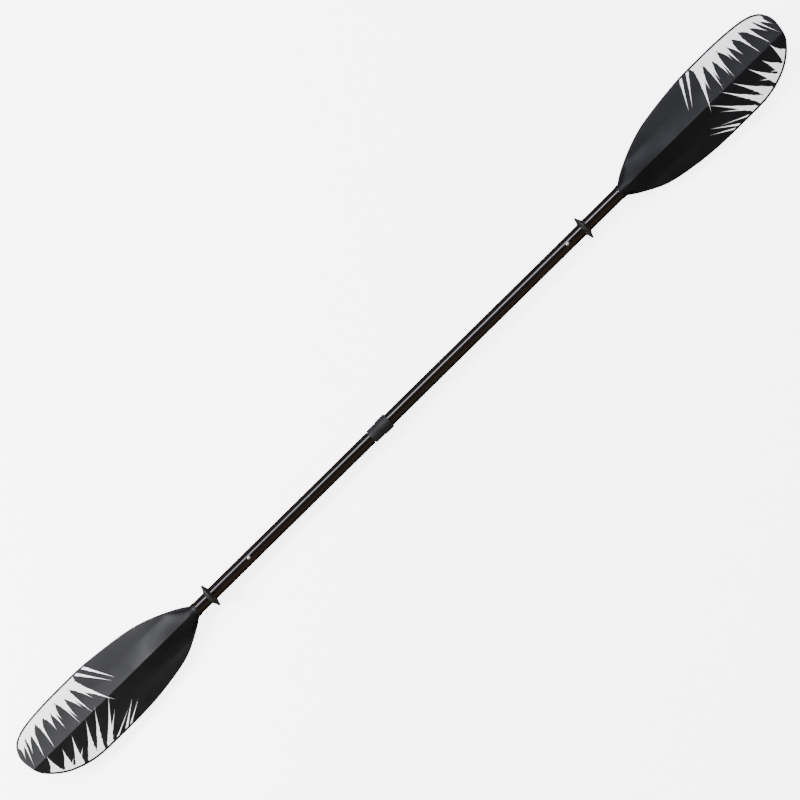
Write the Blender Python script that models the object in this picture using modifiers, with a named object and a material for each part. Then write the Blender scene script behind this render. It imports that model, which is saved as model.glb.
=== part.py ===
"""A four-piece kayak paddle with two asymmetric blades and a shaft of adjustable length and feather angle.

The shaft runs along X, the blades' faces look up (+Z), and the blades' long edges lie on the +Y side.
The origin is at the middle of the paddle's footprint, on the surface that its drip rings rest on.
The model stands at its shortest setting, with the collar locked and both blades in one plane.
"""

import math

import bmesh
import bpy
from mathutils import Matrix, Vector

MM = 0.001

# Overall sizes
PADDLE_LENGTH = 2200 * MM
BLADE_LENGTH = 471.5 * MM
LONG_HALF_WIDTH = 85.4 * MM
SHORT_HALF_WIDTH = 78.3 * MM
STUB_LENGTH = 204 * MM  # blade tube that shows between the shaft joint and the blade's shoulder

# Gaps between pieces that touch on the real paddle
GAP = 0.3 * MM
RUNNING_GAP = 0.5 * MM

# Tubes
TUBE_OD = 29 * MM
TUBE_WALL = 1.2 * MM
BLADE_PLUG_LENGTH = 80 * MM
PLUG_CLEARANCE = 8 * MM  # between a foam plug and what it must not touch

# Ferrules that carry the blade tubes
FERRULE_WALL = 1.2 * MM
FERRULE_CHAMFER = 0.8 * MM
FERRULE_BONDED = 60 * MM
FERRULE_FREE = 87 * MM

# Snap buttons and their V springs
BUTTON_FROM_JOINT = 42 * MM
BUTTON_DIAMETER = 8 * MM
BUTTON_PROUD = 2.2 * MM
BUTTON_DOME = 1.6 * MM
BUTTON_FLANGE_WIDTH = 1 * MM
BUTTON_FLANGE_THICKNESS = 1 * MM
SPRING_WIDTH = 7 * MM
SPRING_THICKNESS = 0.6 * MM
SPRING_LEG = 50 * MM
SPRING_PAD = 5 * MM  # flat end of each spring leg, past the button's centre
SPRING_APEX_RADIUS = 3 * MM

# Blade's neck and moulded section
NECK_WALL = 0.8 * MM
NECK_SLEEVE = 9 * MM
NECK_CHAMFER = 0.5 * MM
SOCKET_DEPTH = 36 * MM  # past the blade's shoulder
SOCKET_FLOOR = 5 * MM
CREST_RISE = 1.8 * MM  # how far the crest stands above the round neck, over the socket
CREST_SPREAD = 60 * MM  # length over which the round neck becomes a crested spine
SPINE_FADE = 150 * MM
SPINE_WIDTH = 40 * MM
FACE_RIDGE = 5 * MM
BACK_RIDGE = 4 * MM
TIP_RIDGE = 1.2 * MM
PLATE_THICKNESS = 3.2 * MM
EDGE_THINNING = 0.35
DIHEDRAL = math.tan(math.radians(8))
SPOON = 25 * MM

# Blade edges: share of the blade's length from its shoulder, share of the half width on that side
LONG_EDGE = (
    (0.057, 0.378), (0.163, 0.640), (0.288, 0.832), (0.500, 0.978), (0.643, 1.000), (0.785, 0.984),
    (0.900, 0.915), (0.963, 0.775), (0.993, 0.550), (1.000, 0.310), (0.990, 0.000),
)
SHORT_EDGE = (
    (0.057, 0.421), (0.163, 0.728), (0.288, 0.888), (0.430, 0.981), (0.600, 1.000), (0.751, 0.974),
    (0.857, 0.798), (0.927, 0.543), (0.975, 0.230), (0.990, 0.000),
)

# Drip rings
RING_HEIGHT = 14 * MM  # how far the flange stands above the tube
RING_LENGTH = 13 * MM
RING_LIP = 1.1 * MM
RING_TIP = 3.4 * MM
RING_TIP_SHARE = 0.42  # place of the flange along the ring, from its centre side
RIGHT_RING_FROM_NECK = 103 * MM
LEFT_RING_FROM_NECK = 38 * MM

# Collar: a wide body bonded on the right tube, and a narrower lock ring on the body's threaded spigot
COLLAR_FROM_MIDDLE = 57 * MM
BODY_WALL = 2.85 * MM
BODY_LENGTH = 26.3 * MM
BODY_CHAMFER = 1.2 * MM
BODY_STOP = 3.5 * MM
SPIGOT_WALL = 1.6 * MM
SPIGOT_LENGTH = 14.5 * MM
LOCK_WALL = 1.35 * MM
LOCK_END_WALL = 0.8 * MM
LOCK_ROUND = 1.5 * MM
LOCK_TRAVEL = 0.75 * MM  # half a turn of its thread
COLLET_LENGTH = 7 * MM
COLLET_TAPER = 0.9 * MM
COLLET_SLOT = 1.6 * MM
SEAL_SECTION = 1.2 * MM

# Graduated ferrule and its guide bush
GRADUATED_CLEARANCE = 0.9 * MM  # all round, in the centre tubes
GRADUATED_FREE = 187 * MM
GRADUATED_BONDED = 60 * MM
BUSH_HEAD = 12 * MM
BUSH_SPIGOT = 20 * MM
BUSH_CHAMFER = 2 * MM
O_RING_SECTION = 1.6 * MM

SIDES = 32
SMALL_SIDES = 24
SPINE_COLUMNS = 5
WING_COLUMNS = 3
BLADE_ROWS = 26

# Radii that follow from the sizes above
TUBE_R = TUBE_OD / 2
BORE_R = TUBE_R - TUBE_WALL
FERRULE_R = BORE_R - GAP
FERRULE_BORE_R = FERRULE_R - FERRULE_WALL
SLEEVE_R = TUBE_R + GAP  # bore of whatever fits over a tube
NECK_R = SLEEVE_R + NECK_WALL
GRADUATED_R = BORE_R - GRADUATED_CLEARANCE
GRADUATED_BORE_R = GRADUATED_R - FERRULE_WALL
THROAT_R = GRADUATED_R + RUNNING_GAP
COLLET_BORE_R = GRADUATED_R + GAP
BODY_R = SLEEVE_R + BODY_WALL
SPIGOT_R = THROAT_R + SPIGOT_WALL
LOCK_BORE_R = SPIGOT_R + GAP
LOCK_R = LOCK_BORE_R + LOCK_WALL

# Places along the shaft, from its middle
SHOULDER = PADDLE_LENGTH / 2 - BLADE_LENGTH
JOINT = SHOULDER - STUB_LENGTH
NECK_END = SHOULDER - NECK_SLEEVE
SOCKET_END = SHOULDER + SOCKET_DEPTH
BUTTON_X = JOINT + BUTTON_FROM_JOINT
SPRING_APEX = BUTTON_X - SPRING_LEG
BODY_FACE = -COLLAR_FROM_MIDDLE
BODY_END = BODY_FACE - BODY_LENGTH
TUBE_SEAT = BODY_END + BODY_STOP
SPIGOT_END = BODY_END - SPIGOT_LENGTH
LOCK_START = BODY_END - GAP
COLLET_START = SPIGOT_END - GAP
COLLET_END = COLLET_START - COLLET_LENGTH
CONE_END = COLLET_END - GAP
SEAL_GROOVE_START = CONE_END - GAP
SEAL_GROOVE_END = SEAL_GROOVE_START - SEAL_SECTION - 2 * GAP
LOCK_END = SEAL_GROOVE_END - LOCK_END_WALL
LEFT_TUBE_END = LOCK_END - LOCK_TRAVEL - GAP
GRADUATED_END = LEFT_TUBE_END + GRADUATED_FREE


def smoothstep(low, high, value):
    share = min(max((value - low) / (high - low), 0), 1)
    return share * share * (3 - 2 * share)


def mix(first, second, share):
    return first + (second - first) * share


def clear_scene():
    for obj in list(bpy.data.objects):
        bpy.data.objects.remove(obj, do_unlink=True)


def new_collection(name):
    collection = bpy.data.collections.new(name)
    bpy.context.scene.collection.children.link(collection)
    return collection


def new_material(name, color, roughness, metallic=0.0):
    material = bpy.data.materials.new(name)
    material.use_nodes = True
    shader = material.node_tree.nodes["Principled BSDF"]
    shader.inputs["Base Color"].default_value = (*color, 1)
    shader.inputs["Roughness"].default_value = roughness
    shader.inputs["Metallic"].default_value = metallic
    return material


clear_scene()
PARTS = new_collection("kayak_paddle")
CUTTERS = new_collection("cutters")
FOOT = bpy.data.objects.new("paddle_origin", None)
PARTS.objects.link(FOOT)

BLADE_PLASTIC = new_material("blade_plastic", (0.018, 0.018, 0.021), 0.5)
SHAFT_GLOSS = new_material("shaft_gloss", (0.006, 0.006, 0.007), 0.2)
FERRULE_GREY = new_material("ferrule_grey", (0.09, 0.095, 0.105), 0.45)
FERRULE_BLACK = new_material("ferrule_black", (0.025, 0.023, 0.024), 0.45)
COLLAR_PLASTIC = new_material("collar_plastic", (0.03, 0.03, 0.034), 0.55)
RUBBER = new_material("rubber", (0.012, 0.013, 0.011), 0.75)
STEEL = new_material("stainless_steel", (0.62, 0.6, 0.57), 0.25, 1.0)
NYLON = new_material("nylon", (0.55, 0.54, 0.5), 0.4)
FOAM = new_material("foam", (0.35, 0.35, 0.36), 0.9)


def add_object(name, mesh, material, collection=PARTS, location=(0, 0, 0)):
    obj = bpy.data.objects.new(name, mesh)
    collection.objects.link(obj)
    obj.location = location
    obj.parent = FOOT
    if material:
        mesh.materials.append(material)
    return obj


def shade(obj, sharp_angle=35):
    obj.data.shade_smooth()
    obj.data.set_sharp_from_angle(angle=math.radians(sharp_angle))


def add_screw(obj, sides):
    screw = obj.modifiers.new("turn", "SCREW")
    screw.axis = "Z"
    screw.steps = sides
    screw.render_steps = sides
    screw.use_merge_vertices = True
    screw.merge_threshold = 0.00001
    screw.use_smooth_shade = True


def turned(name, outline, material, sides=SIDES, along="X", location=(0, 0, 0), collection=PARTS):
    """A turned piece. The outline's points are (radius, place), down the outer side and back up the bore."""
    mesh = bpy.data.meshes.new(name)
    points = [(radius, 0, place) for radius, place in outline]
    edges = [(i, i + 1) for i in range(len(points) - 1)]
    if outline[0][0] > 0:
        edges.append((len(points) - 1, 0))
    mesh.from_pydata(points, edges, [])
    obj = add_object(name, mesh, material, collection, location)
    if along == "X":
        obj.rotation_euler = (0, math.pi / 2, 0)
    add_screw(obj, sides)
    return obj


def tube_outline(outer, bore, high, low, chamfer=0.0):
    """Section of a tube between two places, with its outer ends chamfered."""
    if chamfer == 0:
        return [(outer, high), (outer, low), (bore, low), (bore, high)]
    return [
        (outer - chamfer, high), (outer, high - chamfer), (outer, low + chamfer),
        (outer - chamfer, low), (bore, low), (bore, high),
    ]


def rod_outline(radius, high, low, chamfer=0.0):
    return [
        (0, high), (radius - chamfer, high), (radius, high - chamfer),
        (radius, low + chamfer), (radius - chamfer, low), (0, low),
    ]


def mirrored(outline, side):
    """The same section on the side of the middle that side gives, still running down its outer side."""
    if side > 0:
        return outline
    flipped = [(radius, -place) for radius, place in outline]
    return flipped[::-1] if outline[0][0] == 0 else flip_closed(flipped)


def flip_closed(outline):
    """A closed section run the other way round, starting from the same point."""
    return [outline[0]] + outline[:0:-1]


def hide(cutter):
    cutter.hide_render = True
    cutter.display_type = "WIRE"


def cut(obj, cutter):
    boolean = obj.modifiers.new("cut_" + cutter.name, "BOOLEAN")
    boolean.operation = "DIFFERENCE"
    boolean.solver = "EXACT"
    boolean.object = cutter


def cylinder_cutter(name, radius, low, high, along, location, sides=SIDES):
    cutter = turned(name, rod_outline(radius, high, low), None, sides, along, location, CUTTERS)
    hide(cutter)
    return cutter


def box_cutter(name, size, location):
    mesh = bpy.data.meshes.new(name)
    shape = bmesh.new()
    bmesh.ops.create_cube(shape, size=1)
    bmesh.ops.scale(shape, vec=size, verts=shape.verts)
    shape.to_mesh(mesh)
    shape.free()
    cutter = add_object(name, mesh, None, CUTTERS, location)
    hide(cutter)
    return cutter


def smooth_through(points, steps):
    """Points on a smooth curve through the given ones (Catmull-Rom, with its ends repeated)."""
    knots = [Vector(point) for point in (points[0], *points, points[-1])]
    curve = []
    for before, start, end, after in zip(knots, knots[1:], knots[2:], knots[3:]):
        for step in range(steps):
            t = step / steps
            curve.append(
                start * (1.5 * t**3 - 2.5 * t**2 + 1)
                + end * (-1.5 * t**3 + 2 * t**2 + 0.5 * t)
                + before * (-0.5 * t**3 + t**2 - 0.5 * t)
                + after * (0.5 * t**3 - 0.5 * t**2)
            )
    curve.append(knots[-1])
    return curve


def edge_curve(shares, half_width):
    """A blade's edge from its shoulder to the end of the ridge, as (distance from the shoulder, half width)."""
    points = [(0, NECK_R)] + [(along * BLADE_LENGTH, across * half_width) for along, across in shares]
    return smooth_through(points, 8)


def point_along(curve, share):
    """The point at this share of a curve's length."""
    lengths = [(b - a).length for a, b in zip(curve, curve[1:])]
    left = share * sum(lengths)
    for start, end, length in zip(curve, curve[1:], lengths):
        if left <= length:
            return start.lerp(end, left / length)
        left -= length
    return curve[-1]


def crested(along):
    """How far the round neck has become a crested spine, from 0 to 1."""
    return smoothstep(0, CREST_SPREAD, along)


def spine_width(along):
    return mix(NECK_R, SPINE_WIDTH, crested(along))


def spine_height(along, ridge):
    """Height of the spine above the plate: over the socket first, then fading to the ridge and the tip."""
    over_socket = NECK_R + CREST_RISE * smoothstep(0, SOCKET_DEPTH, along)
    faded = smoothstep(SOCKET_DEPTH + SOCKET_FLOOR, SOCKET_DEPTH + SPINE_FADE, along)
    to_tip = min(max(along / BLADE_LENGTH, 0), 1)
    return mix(over_socket, mix(ridge, TIP_RIDGE, to_tip), faded)


def spine_share(across, crest):
    """Height of the spine's section, from a half circle (0) to a sharp crest with hollow flanks (1)."""
    if across >= 1:
        return 0
    return mix(math.sqrt(1 - across * across), (1 - across) ** 1.3, crest)


def blade_heights(along, across, plate):
    """Face and back height at a point of the blade, at this half thickness of its plate."""
    section = spine_share(abs(across) / spine_width(along), crested(along))
    softened = mix(NECK_R, 0, smoothstep(SOCKET_DEPTH, SOCKET_DEPTH + SPINE_FADE, along))
    fall = DIHEDRAL * (math.hypot(across, softened) - softened) * smoothstep(0, SPINE_FADE, along)
    curved = max(along - SOCKET_DEPTH, 0) / (BLADE_LENGTH - SOCKET_DEPTH)
    middle = SPOON * curved * curved - fall
    face = middle + spine_height(along, FACE_RIDGE) * section + plate
    return face, middle - spine_height(along, BACK_RIDGE) * section - plate


def across_shares(half_width, along):
    """Places of the columns from the ridge (0) to the edge (1), closer together on the spine."""
    spine = min(spine_width(along) / half_width, 1)
    if along > BLADE_LENGTH / 2:
        spine = min(spine, 0.45)
    inner = [spine * math.sin(math.pi / 2 * i / SPINE_COLUMNS) for i in range(SPINE_COLUMNS)]
    outer = [mix(spine, 1, (i / WING_COLUMNS) ** 0.7) for i in range(WING_COLUMNS + 1)]
    return inner + outer


def blade_row(middle, long_point, short_point, to_end):
    """One ring of points round the blade, from the short edge over the face to the long edge and back."""
    face = []
    back = []
    for edge, side in ((short_point, -1), (long_point, 1)):
        half_face = []
        half_back = []
        for share in across_shares(max(edge.y, NECK_R / 4), middle):
            along = mix(middle, edge.x, share * share)
            across = side * edge.y * share
            rounding = math.sqrt(max(1 - share**8, 0)) * math.sqrt(max(1 - to_end**40, 0))
            grown = smoothstep(0, NECK_SLEEVE, along)
            plate = PLATE_THICKNESS / 2 * (1 - EDGE_THINNING * share) * rounding * grown
            high, low = blade_heights(along, across, plate)
            half_face.append((along, across, high))
            half_back.append((along, across, low))
        if side < 0:
            face = half_face[:0:-1]
            back = half_back[:0:-1]
        else:
            face += half_face
            back += half_back
    return face + back[-2:0:-1]


def neck_row(along, radius):
    point = Vector((along, radius))
    return blade_row(along, point, point, 0)


def blade_rows():
    long_edge = edge_curve(LONG_EDGE, LONG_HALF_WIDTH)
    short_edge = edge_curve(SHORT_EDGE, SHORT_HALF_WIDTH)
    ridge_end = LONG_EDGE[-1][0] * BLADE_LENGTH
    rows = [neck_row(-NECK_SLEEVE, NECK_R - NECK_CHAMFER), neck_row(NECK_CHAMFER - NECK_SLEEVE, NECK_R)]
    for i in range(BLADE_ROWS):
        share = math.sin(math.pi / 2 * i / BLADE_ROWS) ** 1.25
        rows.append(
            blade_row(
                share * ridge_end, point_along(long_edge, share), point_along(short_edge, share), share
            )
        )
    tip = (ridge_end, 0, blade_heights(ridge_end, 0, 0)[0] - TIP_RIDGE)
    return rows, tip


def blade(side, name):
    """A loft of rings from the round neck to the thin tip, with the tube's socket bored in its neck."""
    rows, tip = blade_rows()
    shape = bmesh.new()
    rings = [[shape.verts.new(point) for point in row] for row in rows]
    count = len(rings[0])
    for ring, following in zip(rings, rings[1:]):
        for i in range(count):
            j = (i + 1) % count
            shape.faces.new((ring[i], following[i], following[j], ring[j]))
    shape.faces.new(rings[0])
    end = shape.verts.new(tip)
    for i in range(count):
        shape.faces.new((rings[-1][i], end, rings[-1][(i + 1) % count]))
    bmesh.ops.remove_doubles(shape, verts=shape.verts, dist=0.00001)
    bmesh.ops.dissolve_degenerate(shape, edges=shape.edges, dist=0.00001)
    if side < 0:
        bmesh.ops.transform(shape, matrix=Matrix.Scale(-1, 4, (1, 0, 0)), verts=shape.verts)
    bmesh.ops.recalc_face_normals(shape, faces=shape.faces)
    mesh = bpy.data.meshes.new(name)
    shape.to_mesh(mesh)
    shape.free()
    obj = add_object(name, mesh, BLADE_PLASTIC, location=(side * SHOULDER, 0, 0))
    shade(obj)
    middle = side * (NECK_END + SOCKET_END) / 2
    reach = (SOCKET_END - NECK_END) / 2
    # The bore starts outside the neck, so that its mouth is open.
    low = -reach - (GAP if side > 0 else 0)
    high = reach + (GAP if side < 0 else 0)
    cut(obj, cylinder_cutter(name + "_socket", SLEEVE_R, low, high, "X", (middle, 0, 0)))


def button_hole(side, name):
    radius = BUTTON_DIAMETER / 2 + GAP
    return cylinder_cutter(
        name, radius, 0, TUBE_R + BUTTON_PROUD, "Z", (side * BUTTON_X, 0, 0), SMALL_SIDES
    )


def drip_ring(side, name, from_neck):
    """A rubber ring: a thin flange near its centre side, with hollow flares down to a lip at each end."""
    bore = SLEEVE_R
    lip = bore + RING_LIP
    tip = TUBE_R + RING_HEIGHT
    tip_from_start = RING_TIP_SHARE * RING_LENGTH
    half_tip = RING_TIP / 2
    outer = []
    for i in range(6):
        share = i / 5
        place = mix(RING_LENGTH, tip_from_start + half_tip, share)
        outer.append((mix(lip, tip, share**1.5), place))
    for i in range(4):
        share = 1 - i / 3
        place = mix(0, tip_from_start - half_tip, share)
        outer.append((mix(lip, tip, share**1.25), place))
    section = [*outer, (bore, 0), (bore, RING_LENGTH)]
    start = side * (NECK_END - from_neck - RING_LENGTH / 2)
    turned(name, mirrored(section, side), RUBBER, location=(start, 0, 0))


def end_ferrule(side, name):
    section = tube_outline(FERRULE_R, FERRULE_BORE_R, FERRULE_FREE, -FERRULE_BONDED, FERRULE_CHAMFER)
    return turned(name, mirrored(section, side), FERRULE_GREY, location=(side * JOINT, 0, 0))


def blade_tube(side, name):
    section = tube_outline(TUBE_R, BORE_R, SOCKET_END - GAP - JOINT, GAP / 2)
    return turned(name, mirrored(section, side), SHAFT_GLOSS, location=(side * JOINT, 0, 0))


def plug(side, name, bore, start, end):
    section = rod_outline(bore - GAP, end, start)
    turned(name, mirrored(section, side), FOAM)


def plugs(side, word):
    """A foam plug past the ferrule in the blade tube, and one in the ferrule's inner end."""
    blade_plug = JOINT + FERRULE_FREE + PLUG_CLEARANCE
    plug(side, word + "_blade_plug", BORE_R, blade_plug, blade_plug + BLADE_PLUG_LENGTH)
    spring_end = SPRING_APEX - SPRING_APEX_RADIUS - PLUG_CLEARANCE
    plug(side, word + "_centre_plug", FERRULE_BORE_R, JOINT - FERRULE_BONDED, spring_end)


def spring_levels():
    """Heights of the spring's lower and upper legs, and of the underside of the button's flange."""
    half = SPRING_WIDTH / 2
    lowest = GAP + SPRING_THICKNESS / 2 - math.sqrt(FERRULE_BORE_R**2 - half**2)
    flange_r = BUTTON_DIAMETER / 2 + BUTTON_FLANGE_WIDTH
    flange_top = math.sqrt(FERRULE_BORE_R**2 - flange_r**2) - GAP
    flange_base = flange_top - BUTTON_FLANGE_THICKNESS
    return lowest, flange_base - GAP - SPRING_THICKNESS / 2, flange_base


def snap_button(side, name):
    flange_base = spring_levels()[2]
    flange_top = flange_base + BUTTON_FLANGE_THICKNESS
    top = TUBE_R + BUTTON_PROUD
    radius = BUTTON_DIAMETER / 2
    dome = [
        (radius * math.sin(math.pi / 2 * i / 5), top - BUTTON_DOME * (1 - math.cos(math.pi / 2 * i / 5)))
        for i in range(6)
    ]
    section = [
        *dome,
        (radius, flange_top),
        (radius + BUTTON_FLANGE_WIDTH, flange_top),
        (radius + BUTTON_FLANGE_WIDTH, flange_base),
        (0, flange_base),
    ]
    button = turned(name, section, STEEL, SMALL_SIDES, "Z", (side * BUTTON_X, 0, 0))
    return button


def button_spring(side, name):
    """A strip bent to a V: its lower leg lies on the ferrule's bore, its upper leg carries the button."""
    lowest, highest, _ = spring_levels()
    middle = (lowest + highest) / 2
    path = [(BUTTON_X + SPRING_PAD, lowest), (SPRING_APEX + 3 * SPRING_APEX_RADIUS, lowest)]
    for i in range(7):
        angle = math.radians(-90 - 30 * i)
        path.append(
            (
                SPRING_APEX + SPRING_APEX_RADIUS * math.cos(angle),
                middle + SPRING_APEX_RADIUS * math.sin(angle),
            )
        )
    path += [(BUTTON_X - SPRING_PAD, highest), (BUTTON_X + SPRING_PAD, highest)]
    half = SPRING_WIDTH / 2
    points = [(side * x, y, z) for x, z in path for y in (-half, half)]
    faces = [(2 * i, 2 * i + 1, 2 * i + 3, 2 * i + 2) for i in range(len(path) - 1)]
    mesh = bpy.data.meshes.new(name)
    mesh.from_pydata(points, [], faces)
    obj = add_object(name, mesh, STEEL)
    shade(obj)
    solidify = obj.modifiers.new("thickness", "SOLIDIFY")
    solidify.thickness = SPRING_THICKNESS
    solidify.offset = 0
    solidify.use_even_offset = True


def centre_tubes():
    right = tube_outline(TUBE_R, BORE_R, JOINT - GAP / 2, TUBE_SEAT + GAP)
    turned("right_centre_tube", right, SHAFT_GLOSS)
    left = tube_outline(TUBE_R, BORE_R, LEFT_TUBE_END, GAP / 2 - JOINT)
    turned("left_centre_tube", left, SHAFT_GLOSS)


def graduated_ferrule():
    section = tube_outline(
        GRADUATED_R, GRADUATED_BORE_R, GRADUATED_END, LEFT_TUBE_END - GRADUATED_BONDED
    )
    turned("graduated_ferrule", section, FERRULE_BLACK)


def guide_bush():
    """A plug with a spigot in the ferrule's end, and a head with an O-ring groove that fits the tube."""
    head_r = BORE_R - GAP
    half = O_RING_SECTION / 2
    ring_r = BORE_R - GAP / 2 - half
    groove_r = ring_r - half - GAP / 2
    groove_half = half + GAP
    start = GRADUATED_END + GAP
    groove = start + BUSH_HEAD / 2
    end = start + BUSH_HEAD
    section = [
        (0, end),
        (head_r - BUSH_CHAMFER, end),
        (head_r, end - BUSH_CHAMFER),
        (head_r, groove + groove_half),
        (groove_r, groove + groove_half),
        (groove_r, groove - groove_half),
        (head_r, groove - groove_half),
        (head_r, start),
        (GRADUATED_BORE_R - GAP, start),
        (GRADUATED_BORE_R - GAP, start - BUSH_SPIGOT),
        (0, start - BUSH_SPIGOT),
    ]
    turned("guide_bush", section, NYLON)
    ring = [
        (ring_r + half * math.sin(angle), groove + half * math.cos(angle))
        for angle in (2 * math.pi * i / 8 for i in range(8))
    ]
    turned("ferrule_o_ring", ring, RUBBER)


def collar_body():
    section = [
        (BODY_R - BODY_CHAMFER, BODY_FACE),
        (BODY_R, BODY_FACE - BODY_CHAMFER),
        (BODY_R, BODY_END + BODY_CHAMFER),
        (BODY_R - BODY_CHAMFER, BODY_END),
        (SPIGOT_R, BODY_END),
        (SPIGOT_R, SPIGOT_END),
        (THROAT_R, SPIGOT_END),
        (THROAT_R, TUBE_SEAT),
        (SLEEVE_R, TUBE_SEAT),
        (SLEEVE_R, BODY_FACE),
    ]
    turned("collar_body", section, COLLAR_PLASTIC)


def collet_radius(place):
    """Outer radius of the collet's cone at a place along the shaft."""
    wide = SPIGOT_R - GAP
    return wide - COLLET_TAPER * (COLLET_START - place) / COLLET_LENGTH


def lock_ring():
    """The ring's bore, from its open end: a threaded length, a cone over the collet, the seal's groove."""
    groove_r = COLLET_BORE_R + SEAL_SECTION + GAP
    rounded = [
        (LOCK_R - LOCK_ROUND * (1 - math.cos(angle)), LOCK_END + LOCK_ROUND * (1 - math.sin(angle)))
        for angle in (math.pi / 2 * i / 4 for i in range(5))
    ]
    section = [
        (LOCK_R - BODY_CHAMFER / 2, LOCK_START),
        (LOCK_R, LOCK_START - BODY_CHAMFER / 2),
        *rounded,
        (THROAT_R, LOCK_END),
        (THROAT_R, SEAL_GROOVE_END),
        (groove_r, SEAL_GROOVE_END),
        (groove_r, SEAL_GROOVE_START),
        (collet_radius(CONE_END) + GAP, CONE_END),
        (collet_radius(COLLET_START) + GAP, COLLET_START),
        (LOCK_BORE_R, COLLET_START + GAP),
        (LOCK_BORE_R, LOCK_START),
    ]
    turned("lock_ring", section, COLLAR_PLASTIC)
    seal_high = SEAL_GROOVE_START - GAP
    seal = tube_outline(COLLET_BORE_R + SEAL_SECTION, COLLET_BORE_R, seal_high, seal_high - SEAL_SECTION)
    turned("collar_seal", seal, RUBBER)


def split_collet():
    section = [
        (collet_radius(COLLET_START), COLLET_START),
        (collet_radius(COLLET_END), COLLET_END),
        (COLLET_BORE_R, COLLET_END),
        (COLLET_BORE_R, COLLET_START),
    ]
    collet = turned("split_collet", section, NYLON)
    slot_depth = SPIGOT_R
    size = (COLLET_LENGTH * 2, COLLET_SLOT, slot_depth)
    middle = ((COLLET_START + COLLET_END) / 2, 0, -slot_depth / 2 - COLLET_BORE_R / 2)
    cut(collet, box_cutter("collet_slot", size, middle))


def build_side(side, word, ring_from_neck):
    """Everything that both ends of the paddle have: side is 1 for the right end and -1 for the left."""
    blade(side, word + "_blade")
    hole = button_hole(side, word + "_button_hole")
    cut(blade_tube(side, word + "_blade_tube"), hole)
    cut(end_ferrule(side, word + "_end_ferrule"), hole)
    snap_button(side, word + "_snap_button")
    button_spring(side, word + "_button_spring")
    drip_ring(side, word + "_drip_ring", ring_from_neck)
    plugs(side, word)


def stand_on_floor():
    """Moves the paddle so that the origin is at the middle of its box, at the box's lowest height."""
    bpy.context.view_layer.update()
    graph = bpy.context.evaluated_depsgraph_get()
    corners = [
        obj.matrix_world @ Vector(corner)
        for obj in PARTS.objects
        if obj.type == "MESH"
        for corner in obj.evaluated_get(graph).bound_box
    ]
    low = [min(corner[i] for corner in corners) for i in range(3)]
    high = [max(corner[i] for corner in corners) for i in range(3)]
    FOOT.location = (-(low[0] + high[0]) / 2, -(low[1] + high[1]) / 2, -low[2])
    bpy.context.view_layer.update()


def main():
    build_side(1, "right", RIGHT_RING_FROM_NECK)
    build_side(-1, "left", LEFT_RING_FROM_NECK)
    centre_tubes()
    collar_body()
    lock_ring()
    split_collet()
    graduated_ferrule()
    guide_bush()
    stand_on_floor()


main()
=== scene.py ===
"""Looks of a four-piece kayak paddle: moulded blades with a white print, glossy glass-fibre tubes, rubber
drip rings, and a twist-lock collar. The shaft runs along X, the blades face +Z and their long edges lie
towards +Y.
"""

import math

import bmesh
import bpy
from mathutils import Matrix, Vector


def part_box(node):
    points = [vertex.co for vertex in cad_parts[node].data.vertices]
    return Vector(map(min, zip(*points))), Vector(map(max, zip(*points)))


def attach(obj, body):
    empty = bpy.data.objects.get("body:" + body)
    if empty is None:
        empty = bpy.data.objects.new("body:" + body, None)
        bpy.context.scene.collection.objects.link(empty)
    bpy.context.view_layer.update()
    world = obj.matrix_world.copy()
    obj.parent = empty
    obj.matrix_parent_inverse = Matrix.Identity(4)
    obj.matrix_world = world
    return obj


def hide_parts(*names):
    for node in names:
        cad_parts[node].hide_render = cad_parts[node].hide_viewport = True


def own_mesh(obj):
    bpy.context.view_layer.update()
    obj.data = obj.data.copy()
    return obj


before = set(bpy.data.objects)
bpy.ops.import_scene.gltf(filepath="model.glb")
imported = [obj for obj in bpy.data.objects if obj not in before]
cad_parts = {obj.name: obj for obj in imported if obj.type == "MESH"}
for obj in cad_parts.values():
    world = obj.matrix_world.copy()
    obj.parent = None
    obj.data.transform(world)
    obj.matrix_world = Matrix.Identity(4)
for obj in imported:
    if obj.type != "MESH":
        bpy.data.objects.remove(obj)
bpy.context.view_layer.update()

MM = 0.001

# Blade: the moulding's section, as in the CAD solid
NECK_SLEEVE = 9 * MM
NECK_ROUND = 0.5 * MM
NECK_WALL = 0.8 * MM
SOCKET_DEPTH = 36 * MM
SOCKET_FLOOR = 5 * MM
CREST_RISE = 1.8 * MM
CREST_SPREAD = 60 * MM
CREST_SHARPNESS = 1.7
SPINE_FADE = 150 * MM
SPINE_WIDTH = 40 * MM
FACE_RIDGE = 5 * MM
BACK_RIDGE = 4 * MM
TIP_RIDGE = 1.2 * MM
PLATE_THICKNESS = 3.2 * MM
EDGE_THINNING = 0.35
EDGE_ROUNDING = 8
TIP_ROUNDING = 40
DIHEDRAL = math.tan(math.radians(8))
SPOON = 25 * MM
LONG_SHARE = 85.4 / (85.4 + 78.3)  # the long side's share of the blade's width
LONG_EDGE = (
    (0.057, 0.378), (0.163, 0.640), (0.288, 0.832), (0.500, 0.978), (0.643, 1.000), (0.785, 0.984),
    (0.900, 0.915), (0.963, 0.775), (0.993, 0.550), (1.000, 0.310), (0.990, 0.000),
)
SHORT_EDGE = (
    (0.057, 0.421), (0.163, 0.728), (0.288, 0.888), (0.430, 0.981), (0.600, 1.000), (0.751, 0.974),
    (0.857, 0.798), (0.927, 0.543), (0.975, 0.230), (0.990, 0.000),
)
SPINE_COLUMNS = 14
SPINE_SHARE_MOST = 0.45  # the spine columns' share of the half width, past the blade's middle
WING_COLUMNS = 16
WING_SPACING = 0.7
BLADE_ROWS = 150
ROW_SPACING = 1.25
EDGE_STEPS = 24  # between two points of an edge
RIM_START = 0.965  # share of the half width where the moulded rim begins
RIM_SLOPE = 0.015
RIM_HEIGHT = 0.25 * MM
NECK_GROOVE_DEPTH = 0.35 * MM
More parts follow.
